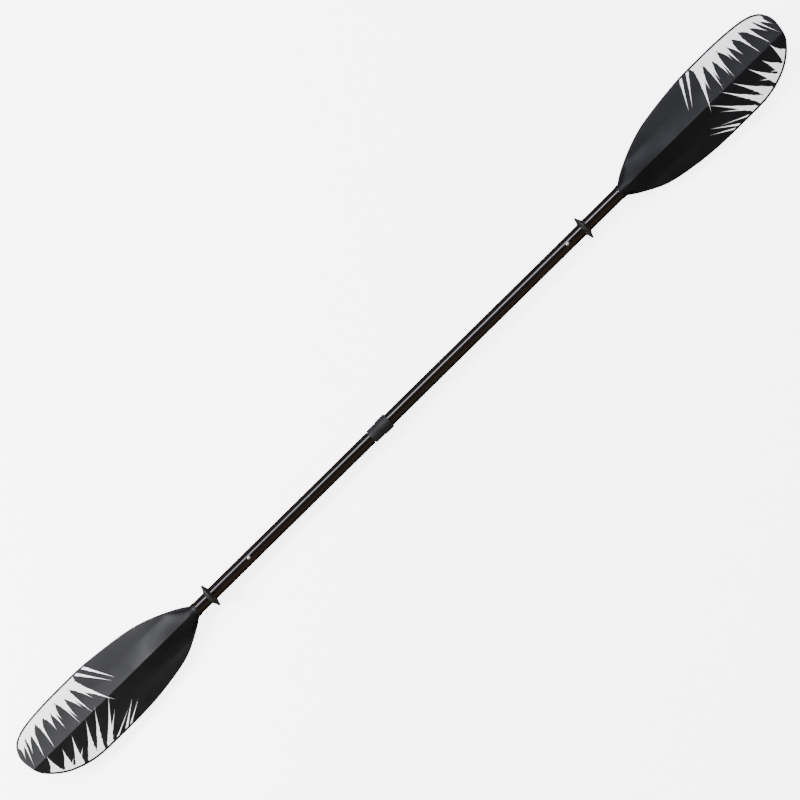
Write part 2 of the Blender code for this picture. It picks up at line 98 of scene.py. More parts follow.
NECK_GROOVE_WIDTH = 1.2 * MM
NECK_GROOVE_PLACE = -1.5 * MM  # from the shoulder

# Print on the blade's face
PRINT_INSET = 4.6 * MM
PRINT_LIFT = 0.2 * MM
PRINT_THICKNESS = 0.3 * MM
LAYER_STEP = 0.04 * MM
PRINT_WELD = 0.02 * MM
DROP_HEIGHT = 300 * MM
ROOT_JITTER = 0.25  # how far a spike's root may be off its even place, as a share of the pitch
RAGGED_ACROSS = 0.15
RAGGED_APART = 40.0
RAGGED_SCALE = 17.0

# Turned pieces
ROUND_SIDES = 128
SMALL_SIDES = 64
TUBE_EDGE = 0.35 * MM
TUBE_WALL = 1.2 * MM
FERRULE_WALL = 1.2 * MM
CLEARANCE = 0.3 * MM
HOLE_LOOPS = (6 * MM, 9 * MM)  # from the snap button's middle
RING_TIP = 3.4 * MM
RING_LIP = 1.1 * MM
RING_TIP_SHARE = 0.42
RING_TIP_ROUND = 1.1 * MM
RING_BEAD = 0.35 * MM
RING_FLARES = ((16, 1.5, 0.07), (12, 1.25, 0.09))  # steps, power and width of the bead, blade side first
RING_RIM_STEPS = 6
RING_BORE_EDGE = (0.3 * MM, 0.5 * MM)
BUTTON_DOME = 1.6 * MM
BUTTON_RADIUS = 4 * MM
BUTTON_FLANGE = 1 * MM
BUTTON_EDGE = 0.1 * MM
BUTTON_STEPS = 14
SPRING_WIDTH = 7 * MM
SPRING_THICKNESS = 0.6 * MM
SPRING_APEX_RADIUS = 3 * MM
SPRING_FLAT_END = 10 * MM
SPRING_EDGE = 0.1 * MM
SPRING_BEND_STEPS = 24

# Collar
THROAT_STEP = 1.9 * MM
SPIGOT_WALL = 1.6 * MM
SEAT_DEPTH = 3.5 * MM
BAND_PLACE = 4.2 * MM  # from the body's shoulder
BAND_DEPTH = 0.5 * MM
BAND_HALF_WIDTH = 0.6 * MM
SEAL_WALL = 0.8 * MM
SEAL_SLOT_DEPTH = 1.3 * MM
SEAL_SLOT_END = 2.6 * MM
CONE_START = 2.9 * MM
CONE_END = 10 * MM
CONE_NARROW = 1.2 * MM
CONE_WIDE = 0.3 * MM
THREAD_START = 10.5 * MM
RIB_COUNT = 40
RIB_HEIGHT = 0.22 * MM
RIB_WIDTH = 1.1 * MM
RIB_MARGIN = 7 * MM
RIB_SHIFT = 1 * MM  # towards the body

# Printed scale on the graduated ferrule
SCALE_START = 6 * MM  # from the left tube's end
SCALE_LENGTH = 105 * MM
SCALE_LIFT = 0.05 * MM
SCALE_THICKNESS = 0.12 * MM
TICK_PITCH = 5 * MM
ARROW_RADIUS = 1.6 * MM
ARROW_GAP = 4 * MM

# Studio
FLOOR_HALF = 12
FLOOR_GLOW = 4.6
VIEW_WIDTH = 1.674
VIEW_TURN = math.radians(-44.56)
VIEW_CENTRE = (-0.0112, 0.0098)
LENS_LENGTH = 100

NOISE_RANGE = {"From Min": 0.3, "From Max": 0.7}  # what a noise covers, but for its rare extremes
RANDOM_FLOAT = 1  # the number of a Random Value node's float output


def smoothstep(low, high, value):
    share = min(max((value - low) / (high - low), 0), 1)
    return share * share * (3 - 2 * share)


def mix(first, second, share):
    return first + (second - first) * share


def middle_of(node):
    low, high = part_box(node)
    return (low + high) / 2


def outer_radius(node):
    low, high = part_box(node)
    return (high - low).z / 2


SHAFT = middle_of("right_centre_tube")
TUBE_R = outer_radius("right_centre_tube")


# Nodes and colours


def colour(hexed, alpha=1.0):
    """An sRGB hex colour as linear values."""
    channels = [int(hexed[i : i + 2], 16) / 255 for i in (1, 3, 5)]
    return (*(c / 12.92 if c <= 0.04045 else ((c + 0.055) / 1.055) ** 2.4 for c in channels), alpha)


def set_inputs(tree, node, inputs):
    """Gives a node its values and links: an input that is given a socket is linked to it."""
    for key, value in inputs.items():
        if isinstance(value, bpy.types.NodeSocket):
            tree.links.new(value, node.inputs[key])
        else:
            node.inputs[key].default_value = value


def add_node(tree, kind, inputs=None, **settings):
    """A new node with its settings, its values and its links."""
    made = tree.nodes.new(kind)
    for name, value in settings.items():
        setattr(made, name, value)
    set_inputs(tree, made, inputs or {})
    return made


def new_finish(name, roughness, metallic=0.0, ior=1.5):
    """A finish with its tree, its shader and the object coordinates that its patterns lie on."""
    material = bpy.data.materials.new(name)
    material.use_nodes = True
    tree = material.node_tree
    shader = tree.nodes["Principled BSDF"]
    set_inputs(tree, shader, {"Roughness": roughness, "Metallic": metallic, "IOR": ior})
    return material, tree, shader, add_node(tree, "ShaderNodeTexCoord").outputs["Object"]


def two_tones(tree, pattern, dark, light, low=0.35, high=0.65):
    """Two colours mixed where a pattern's value goes from low to high."""
    ramp = add_node(tree, "ShaderNodeValToRGB", {0: pattern})
    for element, position, tone in zip(ramp.color_ramp.elements, (low, high), (dark, light)):
        element.position = position
        element.color = colour(tone)
    return ramp.outputs[0]


def moulded_polypropylene():
    """Injection-moulded black polypropylene: satin, with a fine spark-eroded grain, faint flow marks along
    the blade, and paler scuffs where its edge meets gravel."""
    material, tree, shader, place = new_finish("moulded_polypropylene", 0.52, ior=1.49)
    # Flow marks are about 12 mm across and six times as long.
    stretched = add_node(tree, "ShaderNodeMapping", {"Vector": place, "Scale": (0.16, 1, 1)})
    flow = add_node(tree, "ShaderNodeTexNoise", {"Vector": stretched.outputs[0], "Scale": 80, "Detail": 3})
    base = two_tones(tree, flow.outputs[0], "#080809", "#0b0b0c")
    rim = add_node(tree, "ShaderNodeAttribute", attribute_name="edge_share")
    near_edge = add_node(tree, "ShaderNodeMapRange", {"Value": rim.outputs["Fac"], "From Min": 0.955})
    # Scuffs are 3 mm apart and broken up.
    marks = add_node(
        tree, "ShaderNodeTexNoise", {"Vector": place, "Scale": 330, "Detail": 4, "Roughness": 0.7}
    )
    broken = add_node(
        tree,
        "ShaderNodeMapRange",
        {"Value": marks.outputs[0], "From Min": 0.52, "From Max": 0.66, "To Max": 0.8},
    )
    scuffed = add_node(
        tree, "ShaderNodeMath", {0: near_edge.outputs[0], 1: broken.outputs[0]}, operation="MULTIPLY"
    )
    worn = add_node(
        tree, "ShaderNodeMix", {0: scuffed.outputs[0], 6: base, 7: colour("#19191a")}, data_type="RGBA"
    )
    smudges = add_node(tree, "ShaderNodeTexNoise", {"Vector": place, "Scale": 28, "Detail": 5})
    dull = add_node(
        tree,
        "ShaderNodeMapRange",
        {**NOISE_RANGE, "Value": smudges.outputs[0], "To Min": 0.46, "To Max": 0.57},
    )
    # The skin has a shallow orange peel with dimples 4 mm apart. The grain on it is drawn at 0.9 mm,
    # coarser than the real 0.2 mm, so that it shows.
    peel = add_node(tree, "ShaderNodeTexNoise", {"Vector": place, "Scale": 250, "Detail": 2})
    dimpled = add_node(
        tree, "ShaderNodeBump", {"Strength": 0.45, "Distance": 0.0001, "Height": peel.outputs[0]}
    )
    grain = add_node(tree, "ShaderNodeTexNoise", {"Vector": place, "Scale": 1100, "Detail": 2})
    bump = add_node(
        tree,
        "ShaderNodeBump",
        {"Strength": 0.35, "Distance": 0.0001, "Height": grain.outputs[0], "Normal": dimpled.outputs[0]},
    )
    set_inputs(tree, shader, {
        "Base Color": worn.outputs[2],
        "Roughness": dull.outputs[0],
        "Specular IOR Level": 0.32,
        "Normal": bump.outputs[0],
    })
    return material


def screen_print_ink(name, tone, rubbed):
    """Opaque screen-printed ink: a flat satin film, slightly uneven, rubbed thin in small specks."""
    material, tree, shader, place = new_finish(name, 0.42)
    # Rubbed specks are about 1.5 mm across.
    specks = add_node(
        tree, "ShaderNodeTexNoise", {"Vector": place, "Scale": 640, "Detail": 5, "Roughness": 0.65}
    )
    film = add_node(tree, "ShaderNodeTexNoise", {"Vector": place, "Scale": 90, "Detail": 3})
    dull = add_node(
        tree, "ShaderNodeMapRange", {**NOISE_RANGE, "Value": film.outputs[0], "To Min": 0.36, "To Max": 0.5}
    )
    bump = add_node(
        tree, "ShaderNodeBump", {"Strength": 0.2, "Distance": 0.00005, "Height": specks.outputs[0]}
    )
    set_inputs(tree, shader, {
        "Base Color": two_tones(tree, specks.outputs[0], rubbed, tone, 0.24, 0.36),
        "Roughness": dull.outputs[0],
        "Normal": bump.outputs[0],
    })
    return material


def glossy_glass_fibre():
    """Black glass-fibre tube under a clear polyester coat: a hard, narrow highlight, with the braid's
    diagonal strands just visible below the coat."""
    material, tree, shader, place = new_finish("glossy_glass_fibre", 0.16, ior=1.52)
    wrap = add_node(tree, "ShaderNodeUVMap", uv_map="UVMap").outputs[0]
    # Strands cross at 45 degrees, 3.2 mm apart. A wave band repeats every 0.314 / scale metres.
    strands = []
    for lean in (math.radians(45), math.radians(-45)):
        turned_uv = add_node(tree, "ShaderNodeMapping", {"Vector": wrap, "Rotation": (0, 0, lean)})
        wave = add_node(
            tree,
            "ShaderNodeTexWave",
            {"Vector": turned_uv.outputs[0], "Scale": 98, "Distortion": 0.6, "Detail Scale": 2},
        )
        strands.append(wave.outputs["Fac"])
    braid = add_node(tree, "ShaderNodeMath", {0: strands[0], 1: strands[1]}, operation="MULTIPLY")
    handled = add_node(tree, "ShaderNodeTexNoise", {"Vector": place, "Scale": 45, "Detail": 6})
    dull = add_node(
        tree,
        "ShaderNodeMapRange",
        {**NOISE_RANGE, "Value": handled.outputs[0], "To Min": 0.12, "To Max": 0.18},
    )
    ripple = add_node(tree, "ShaderNodeTexNoise", {"Vector": place, "Scale": 120, "Detail": 1})
    bump = add_node(
        tree, "ShaderNodeBump", {"Strength": 0.02, "Distance": 0.0001, "Height": ripple.outputs[0]}
    )
    set_inputs(tree, shader, {
        "Base Color": two_tones(tree, braid.outputs[0], "#100d0a", "#17130e", 0.1, 0.7),
        "Roughness": dull.outputs[0],
        "Coat Weight": 0.6,
        "Coat Roughness": 0.06,
        "Normal": bump.outputs[0],
    })
    return material


def ground_glass_fibre(name, dark, light, roughness):
    """A glass-fibre ferrule ground to size: satin, with fine grinding lines round it and paler fibres."""
    material, tree, shader, place = new_finish(name, roughness)
    # Grinding lines run round the tube, 0.4 mm apart.
    lines = add_node(tree, "ShaderNodeMapping", {"Vector": place, "Scale": (1, 0.06, 0.06)})
    ground = add_node(tree, "ShaderNodeTexNoise", {"Vector": lines.outputs[0], "Scale": 2400, "Detail": 2})
    dull = add_node(
        tree,
        "ShaderNodeMapRange",
        {**NOISE_RANGE, "Value": ground.outputs[0], "To Min": roughness - 0.06, "To Max": roughness + 0.08},
    )
    bump = add_node(
        tree, "ShaderNodeBump", {"Strength": 0.25, "Distance": 0.00005, "Height": ground.outputs[0]}
    )
    set_inputs(tree, shader, {
        "Base Color": two_tones(tree, ground.outputs[0], dark, light),
        "Roughness": dull.outputs[0],
        "Normal": bump.outputs[0],
    })
    return material


def moulded_nylon(name, dark, light, roughness, grain=0.4):
    """Moulded glass-filled nylon: matt, with an even spark-eroded texture and slight mottling."""
    material, tree, shader, place = new_finish(name, roughness, ior=1.53)
    mottle = add_node(tree, "ShaderNodeTexNoise", {"Vector": place, "Scale": 160, "Detail": 6})
    dull = add_node(
        tree,
        "ShaderNodeMapRange",
        {**NOISE_RANGE, "Value": mottle.outputs[0], "To Min": roughness - 0.05, "To Max": roughness + 0.07},
    )
    # The texture's pits are 0.7 mm apart.
    pits = add_node(tree, "ShaderNodeTexVoronoi", {"Vector": place, "Scale": 1400})
    bump = add_node(
        tree, "ShaderNodeBump", {"Strength": grain, "Distance": 0.0001, "Height": pits.outputs[0]}
    )
    set_inputs(tree, shader, {
        "Base Color": two_tones(tree, mottle.outputs[0], dark, light),
        "Roughness": dull.outputs[0],
        "Specular IOR Level": 0.42,
        "Normal": bump.outputs[0],
    })
    return material


def moulded_rubber():
    """Moulded natural rubber: matt olive black, with a dry bloom in patches and a soft fine grain."""
    material, tree, shader, place = new_finish("moulded_rubber", 0.62, ior=1.52)
    bloom = add_node(
        tree, "ShaderNodeTexNoise", {"Vector": place, "Scale": 90, "Detail": 7, "Roughness": 0.6}
    )
    dull = add_node(
        tree,
        "ShaderNodeMapRange",
        {**NOISE_RANGE, "Value": bloom.outputs[0], "To Min": 0.54, "To Max": 0.72},
    )
    grain = add_node(tree, "ShaderNodeTexNoise", {"Vector": place, "Scale": 900, "Detail": 3})
    bump = add_node(
        tree, "ShaderNodeBump", {"Strength": 0.3, "Distance": 0.0001, "Height": grain.outputs[0]}
    )
    set_inputs(tree, shader, {
        "Base Color": two_tones(tree, bloom.outputs[0], "#0d0e0b", "#191a15", 0.4, 0.72),
        "Roughness": dull.outputs[0],
        "Normal": bump.outputs[0],
    })
    return material


def stainless_steel(name, tone, roughness):
    """Stainless steel, polished or rolled: warm grey, with hairlines and small dull patches."""
    material, tree, shader, place = new_finish(name, roughness, metallic=1.0)
    # Hairlines are 0.15 mm wide and run along the shaft.
    drawn = add_node(tree, "ShaderNodeMapping", {"Vector": place, "Scale": (0.05, 1, 1)})
    hairlines = add_node(
        tree, "ShaderNodeTexNoise", {"Vector": drawn.outputs[0], "Scale": 6000, "Detail": 2}
    )
    dull = add_node(
        tree,
        "ShaderNodeMapRange",
        {**NOISE_RANGE, "Value": hairlines.outputs[0], "To Min": roughness - 0.05, "To Max": roughness + 0.1},
    )
    base = two_tones(tree, hairlines.outputs[0], tone, "#d9d4ca")
    set_inputs(tree, shader, {"Base Color": base, "Roughness": dull.outputs[0]})
    return material


def closed_cell_foam():
    """Cut polyethylene foam: dull grey, with open cells on its surface."""
    material, tree, shader, place = new_finish("closed_cell_foam", 0.9)
    # Cells are 1.4 mm across.
    cells = add_node(tree, "ShaderNodeTexVoronoi", {"Vector": place, "Scale": 700})
    base = two_tones(tree, cells.outputs[0], "#8a8a8c", "#a9a9ab", 0.1, 0.6)
    bump = add_node(
        tree,
        "ShaderNodeBump",
        {"Strength": 0.8, "Distance": 0.0004, "Height": cells.outputs[0]},
        invert=True,
    )
    set_inputs(tree, shader, {"Base Color": base, "Normal": bump.outputs[0]})
    return material


def cured_epoxy():
    """A wiped bead of dark epoxy: glossy, with soft waves from the finger that wiped it."""
    material, tree, shader, place = new_finish("cured_epoxy", 0.2, ior=1.55)
    waves = add_node(tree, "ShaderNodeTexNoise", {"Vector": place, "Scale": 260, "Detail": 2})
    base = two_tones(tree, waves.outputs[0], "#120f0c", "#1d1813")
    bump = add_node(
        tree, "ShaderNodeBump", {"Strength": 0.3, "Distance": 0.0002, "Height": waves.outputs[0]}
    )
    set_inputs(tree, shader, {"Base Color": base, "Normal": bump.outputs[0]})
    return material


POLYPROPYLENE = moulded_polypropylene()
WHITE_INK = screen_print_ink("screen_print_white", "#f3f3f1", "#b9b9b8")
SCALE_INK = screen_print_ink("pad_print_white", "#e6e6e2", "#a5a5a2")
GLASS_FIBRE = glossy_glass_fibre()
GREY_FERRULE = ground_glass_fibre("ground_glass_fibre_grey", "#55585d", "#6b6f74", 0.42)
BLACK_FERRULE = ground_glass_fibre("ground_glass_fibre_black", "#242122", "#302d2d", 0.42)
COLLAR_NYLON = moulded_nylon("moulded_nylon_charcoal", "#100f0f", "#151413", 0.56, 0.3)
NATURAL_NYLON = moulded_nylon("moulded_nylon_natural", "#bdb8a8", "#cfcabb", 0.4, 0.15)
RUBBER = moulded_rubber()
POLISHED_STEEL = stainless_steel("polished_stainless_steel", "#e2dccf", 0.42)
SPRING_STEEL = stainless_steel("rolled_spring_steel", "#8f8b84", 0.32)
FOAM = closed_cell_foam()
EPOXY = cured_epoxy()


# Meshes


def linked(name, data):
    obj = bpy.data.objects.new(name, data)
    bpy.context.scene.collection.objects.link(obj)
    return obj


def mesh_from(name, shape):
    """A bmesh written to a new mesh, and freed."""
    mesh = bpy.data.meshes.new(name)
    shape.to_mesh(mesh)
    shape.free()
    return mesh


def shape_from(*meshes):
    """Meshes read into one new bmesh, and removed."""
    shape = bmesh.new()
    for mesh in meshes:
        shape.from_mesh(mesh)
        bpy.data.meshes.remove(mesh)
    return shape


def evaluated_mesh(obj):
    """The mesh that an object's modifiers make of it. The object is removed."""
    bpy.context.view_layer.update()
    graph = bpy.context.evaluated_depsgraph_get()
    mesh = bpy.data.meshes.new_from_object(obj.evaluated_get(graph), depsgraph=graph)
    bpy.data.objects.remove(obj)
    return mesh


def cleaned(shape, weld, sliver):
    """Points closer than weld are merged, edges shorter than sliver go, and the faces look outwards."""
    bmesh.ops.remove_doubles(shape, verts=shape.verts, dist=weld)
    bmesh.ops.dissolve_degenerate(shape, edges=shape.edges, dist=sliver)
    bmesh.ops.recalc_face_normals(shape, faces=shape.faces)
    return shape


def new_piece(name, shape, material, body, replaces=(), sharp_angle=32):
    """A piece made of a bmesh in row coordinates: shaded, given its finish, and riding on its body."""
    mesh = mesh_from(name, shape)
    mesh.shade_smooth()
    mesh.set_sharp_from_angle(angle=math.radians(sharp_angle))
    mesh.materials.append(material)
    piece = linked(name, mesh)
    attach(piece, body)
    if replaces:
        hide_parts(*replaces)
    return piece


def filleted(corners, steps=5):
    """A closed outline of (point, radius) with each corner rounded by its own radius."""
    points = [Vector(point) for point, _ in corners]
    made = []
    for i, (_, radius) in enumerate(corners):
        before, corner, after = points[i - 1], points[i], points[(i + 1) % len(points)]
        reach = min(radius, (before - corner).length / 2.05, (after - corner).length / 2.05)
        start = corner + (before - corner).normalized() * reach
        end = corner + (after - corner).normalized() * reach
        for step in range(steps + 1):
            t = step / steps
            made.append(tuple(start * (1 - t) ** 2 + corner * (2 * t * (1 - t)) + end * t**2))
    return made


def turned_shape(outline, sides=ROUND_SIDES, along="X", centre=SHAFT):
    """A closed outline of (radius, place) turned round the shaft's axis, or round an upright axis."""
    shape = bmesh.new()
    wrap = shape.loops.layers.uv.new("UVMap")
    lengths = [0.0]
    for start, end in zip(outline, outline[1:] + outline[:1]):
        lengths.append(lengths[-1] + (Vector(end) - Vector(start)).length)
    widest = max(radius for radius, _ in outline)
    rings = []
    for step in range(sides):
        angle = 2 * math.pi * step / sides
        ring = []
        for radius, place in outline:
            across, up = radius * math.cos(angle), radius * math.sin(angle)
            if along == "X":
                point = (place, centre.y + across, centre.z + up)
            else:
                point = (centre.x + across, centre.y + up, place)
            ring.append(shape.verts.new(point))
        rings.append(ring)
    count = len(outline)
    for step in range(sides):
        ring, following = rings[step], rings[(step + 1) % sides]
        for i in range(count):
            j = (i + 1) % count
            if outline[i][0] <= 0 and outline[j][0] <= 0:
                continue
            face = shape.faces.new((ring[i], ring[j], following[j], following[i]))
            corners = ((step, i), (step, i + 1), (step + 1, i + 1), (step + 1, i))
            for loop, (round_step, at) in zip(face.loops, corners):
                loop[wrap].uv = (2 * math.pi * widest * round_step / sides, lengths[at])
    return cleaned(shape, 0.002 * MM, 0.001 * MM)


def ends_of(node):
    low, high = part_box(node)
    return low.x, high.x


def edge_rounded_tube(outer, bore, low, high, loops):
    """A tube's wall with its outer edges broken, and extra loops on its outside at the given places."""
    outline = [(outer - TUBE_EDGE, low), (outer, low + TUBE_EDGE)]
    outline += [(outer, place) for place in sorted(loops)]
    outline += [(outer, high - TUBE_EDGE), (outer - TUBE_EDGE, high), (bore, high), (bore, low)]
    return outline


def bore_hole(shape, x, radius, low, high):
    """Bores an upright hole through the upper wall of a tube."""
    drill_outline = [(0, low), (radius, low), (radius, high), (0, high)]
    drill_shape = turned_shape(drill_outline, SMALL_SIDES, "Z", Vector((x, SHAFT.y, 0)))
    drill = linked("drill", mesh_from("drill", drill_shape))
    bored = linked("bored_tube", mesh_from("bored_tube", shape))
    cut = bored.modifiers.new("hole", "BOOLEAN")
    cut.operation = "DIFFERENCE"
    cut.solver = "EXACT"
    cut.object = drill
    holed = shape_from(evaluated_mesh(bored))
    bpy.data.objects.remove(drill)
    return holed


# Blades


def smooth_through(points, steps):
    """Points on a smooth curve through the given ones (Catmull-Rom, with its ends repeated)."""
    knots = [Vector(point) for point in (points[0], *points, points[-1])]
    curve = []
    for before, start, end, after in zip(knots, knots[1:], knots[2:], knots[3:]):
        for step in range(steps):
            t = step / steps
            curve.append(
                start * (1.5 * t**3 - 2.5 * t**2 + 1)
                + end * (-1.5 * t**3 + 2 * t**2 + 0.5 * t)
                + before * (-0.5 * t**3 + t**2 - 0.5 * t)
                + after * (0.5 * t**3 - 0.5 * t**2)
            )
    curve.append(knots[-1])
    return curve


class BladeForm:
    """The blade's surface as heights over a plane, with x from the shoulder towards the tip."""

    def __init__(self, node):
        low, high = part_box(node)
        self.side = 1 if low.x > 0 else -1
        self.neck_end = low.x if self.side > 0 else high.x
        self.shoulder = self.neck_end + self.side * NECK_SLEEVE
        self.length = abs((high.x if self.side > 0 else low.x) - self.shoulder)
        width = high.y - low.y
        self.long_half = width * LONG_SHARE
        self.short_half = width - self.long_half
        self.neck_r = TUBE_R + CLEARANCE + NECK_WALL

    def edge(self, shares, half_width):
        points = [(along * self.length, across * half_width) for along, across in shares]
        return smooth_through([(0, self.neck_r), *points], EDGE_STEPS)

    def spine_width(self, along):
        return mix(self.neck_r, SPINE_WIDTH, smoothstep(0, CREST_SPREAD, along))

    def spine_height(self, along, ridge):
        """Height of the spine above the plate: over the socket first, then down to the ridge and the tip."""
        over_socket = self.neck_r + CREST_RISE * smoothstep(0, SOCKET_DEPTH, along)
        faded = smoothstep(SOCKET_DEPTH + SOCKET_FLOOR, SOCKET_DEPTH + SPINE_FADE, along)
        to_tip = min(max(along / self.length, 0), 1)
        return mix(over_socket, mix(ridge, TIP_RIDGE, to_tip), faded)

    def heights(self, along, across, plate):
        """Face and back height at a point, at this half thickness of the plate."""
        crest = smoothstep(0, CREST_SPREAD, along)
        share = abs(across) / self.spine_width(along)
        section = 0
        if share < 1:
            section = mix(math.sqrt(1 - share * share), (1 - share) ** CREST_SHARPNESS, crest)
        softened = mix(self.neck_r, 0, smoothstep(SOCKET_DEPTH, SOCKET_DEPTH + SPINE_FADE, along))
        fall = DIHEDRAL * (math.hypot(across, softened) - softened) * smoothstep(0, SPINE_FADE, along)
        curved = max(along - SOCKET_DEPTH, 0) / (self.length - SOCKET_DEPTH)
        middle = SPOON * curved * curved - fall
        face = middle + self.spine_height(along, FACE_RIDGE) * section + plate
        return face, middle - self.spine_height(along, BACK_RIDGE) * section - plate

    def column_shares(self, half_width, along):
        """Places of the columns from the ridge (0) to the edge (1), closer together on the spine."""
        spine = min(self.spine_width(along) / half_width, 1)
        if along > self.length / 2:
            spine = min(spine, SPINE_SHARE_MOST)
        inner = [spine * math.sin(math.pi / 2 * i / SPINE_COLUMNS) for i in range(SPINE_COLUMNS)]
        outer = [mix(spine, 1, (i / WING_COLUMNS) ** WING_SPACING) for i in range(WING_COLUMNS + 1)]
        return inner + outer

    def row(self, middle, long_point, short_point, to_end):
        """One ring round the blade as (along, across, height, share of the half width)."""
        face = []
        back = []
        for edge, side in ((short_point, -1), (long_point, 1)):
            half_face = []
            half_back = []
            for share in self.column_shares(max(edge.y, self.neck_r / 4), middle):
                along = mix(middle, edge.x, share * share)
                across = side * edge.y * share
                rounding = math.sqrt(max(1 - share**EDGE_ROUNDING, 0) * max(1 - to_end**TIP_ROUNDING, 0))
                grown = smoothstep(0, NECK_SLEEVE, along)
                plate = PLATE_THICKNESS / 2 * (1 - EDGE_THINNING * share) * rounding * grown
                rim = RIM_HEIGHT * smoothstep(RIM_START - RIM_SLOPE, RIM_START, share) * rounding * grown
                high, low = self.heights(along, across, plate)
                half_face.append((along, across, high + rim, share))
                half_back.append((along, across, low - rim, share))
            if side < 0:
                face = half_face[:0:-1]
                back = half_back[:0:-1]
            else:
                face += half_face
                back += half_back
        return face + back[-2:0:-1]

    def in_row_frame(self, along, across, height):
        return (self.shoulder + self.side * along, SHAFT.y + across, SHAFT.z + height)


def scaled_row(row, share):
    """A row of the round neck, drawn in or out from the axis."""
    return [(along, across * share, height * share, 0.0) for along, across, height, _ in row]


def moved_row(row, along):
    return [(along, across, height, share) for _, across, height, share in row]


def neck_rows(form):
    """Rings from the bottom of the socket, out round the neck's end and over the groove behind it."""
    neck = Vector((-NECK_SLEEVE, form.neck_r))
    round_neck = form.row(-NECK_SLEEVE, neck, neck, 0)
    bore = scaled_row(round_neck, (TUBE_R + CLEARANCE) / form.neck_r)
    rows = [moved_row(bore, SOCKET_DEPTH), bore]
    for i in range(5):
        angle = math.pi / 2 * i / 4
        drawn_in = scaled_row(round_neck, 1 - NECK_ROUND * (1 - math.sin(angle)) / form.neck_r)
        rows.append(moved_row(drawn_in, -NECK_SLEEVE + NECK_ROUND * (1 - math.cos(angle))))
    # A shallow groove shows where the sleeve ends and the blade begins.
    for i in range(-3, 4):
        depth = NECK_GROOVE_DEPTH * (math.cos(math.pi * i / 3) + 1) / 2
        sunk = scaled_row(round_neck, 1 - depth / form.neck_r)
        rows.append(moved_row(sunk, NECK_GROOVE_PLACE + NECK_GROOVE_WIDTH * i / 6))
    return rows


def blade_shape(form):
    """The moulding, as rings of points from its socket to its tip that are joined by faces."""
    long_edge = form.edge(LONG_EDGE, form.long_half)
    short_edge = form.edge(SHORT_EDGE, form.short_half)
    ridge_end = LONG_EDGE[-1][0] * form.length
    rows = neck_rows(form)
    for i in range(BLADE_ROWS):
        share = math.sin(math.pi / 2 * i / BLADE_ROWS) ** ROW_SPACING
        edges = along_curve(long_edge, share), along_curve(short_edge, share)
        rows.append(form.row(share * ridge_end, *edges, share))
    shape = bmesh.new()
    worn = shape.verts.layers.float.new("edge_share")
    rings = []
    for row in rows:
        ring = []
        for along, across, height, share in row:
            vert = shape.verts.new(form.in_row_frame(along, across, height))
            vert[worn] = share
            ring.append(vert)
        rings.append(ring)
    count = len(rings[0])
    for ring, following in zip(rings, rings[1:]):
        for i in range(count):
            j = (i + 1) % count
            shape.faces.new((ring[i], following[i], following[j], ring[j]))
    floor_centre = shape.verts.new(form.in_row_frame(SOCKET_DEPTH, 0, 0))
    tip_height = form.heights(ridge_end, 0, 0)[0] - TIP_RIDGE
    tip = shape.verts.new(form.in_row_frame(ridge_end, 0, tip_height))
    tip[worn] = 1.0
    for i in range(count):
        j = (i + 1) % count
        shape.faces.new((rings[0][j], floor_centre, rings[0][i]))
        shape.faces.new((rings[-1][i], tip, rings[-1][j]))
    return cleaned(shape, 0.005 * MM, 0.002 * MM)


def along_curve(curve, share):
    """The point at this share of a curve's length."""
    lengths = [(b - a).length for a, b in zip(curve, curve[1:])]
    left = share * sum(lengths)
    for start, end, length in zip(curve, curve[1:], lengths):
        if left <= length:
            return start.lerp(end, left / length)
        left -= length
    return curve[-1]


# Print on the blades


def inset_edge(form, shares, half_width, side):
    """The blade's edge in the row frame, drawn in by the black margin that the print leaves."""
    curve = form.edge(shares, half_width)
    points = []
    for before, after in zip(curve, curve[1:]):
        if (after - before).length < 1e-7:
            continue
        inward = Vector((after.y - before.y, before.x - after.x)).normalized()
        point = before + inward * PRINT_INSET
        points.append(form.in_row_frame(point.x, side * point.y, 0))
    return points


def poly_curve(name, points):
    curve = bpy.data.curves.new(name, "CURVE")
    curve.dimensions = "3D"
    spline = curve.splines.new("POLY")
    spline.points.add(len(points) - 1)
    for knot, point in zip(spline.points, points):
        knot.co = (*point, 1)
    return linked(name, curve)


SPIKE_INPUTS = {
    "Edge": ("NodeSocketObject", None),
    "Blade": ("NodeSocketObject", None),
    "Ink": ("NodeSocketMaterial", None),
    "Count": ("NodeSocketInt", 9),
    "First": ("NodeSocketFloat", 0.5),
    "Last": ("NodeSocketFloat", 0.9),
    "Least Width": ("NodeSocketFloat", 0.02),
    "Most Width": ("NodeSocketFloat", 0.05),
    "Lean at First": ("NodeSocketFloat", -0.1),
    "Lean at Last": ("NodeSocketFloat", 0.0),
    "Least Reach": ("NodeSocketFloat", 0.0),
    "Most Reach": ("NodeSocketFloat", 0.0),
    "Hollowing": ("NodeSocketFloat", 0.6),
    "Seed": ("NodeSocketInt", 1),
    "Raggedness": ("NodeSocketFloat", 0.24),
    "Lift at First": ("NodeSocketFloat", PRINT_LIFT),
    "Lift at Last": ("NodeSocketFloat", PRINT_LIFT),
}


def new_tree(name, inputs):
    """A geometry node tree with named inputs and one geometry output, and the sockets of its inputs."""
    tree = bpy.data.node_groups.new(name, "GeometryNodeTree")
    for label, (kind, value) in inputs.items():
        socket = tree.interface.new_socket(label, in_out="INPUT", socket_type=kind)
        if value is not None:
            socket.default_value = value
    tree.interface.new_socket("Geometry", in_out="OUTPUT", socket_type="NodeSocketGeometry")
    return tree, tree.nodes.new("NodeGroupInput").outputs


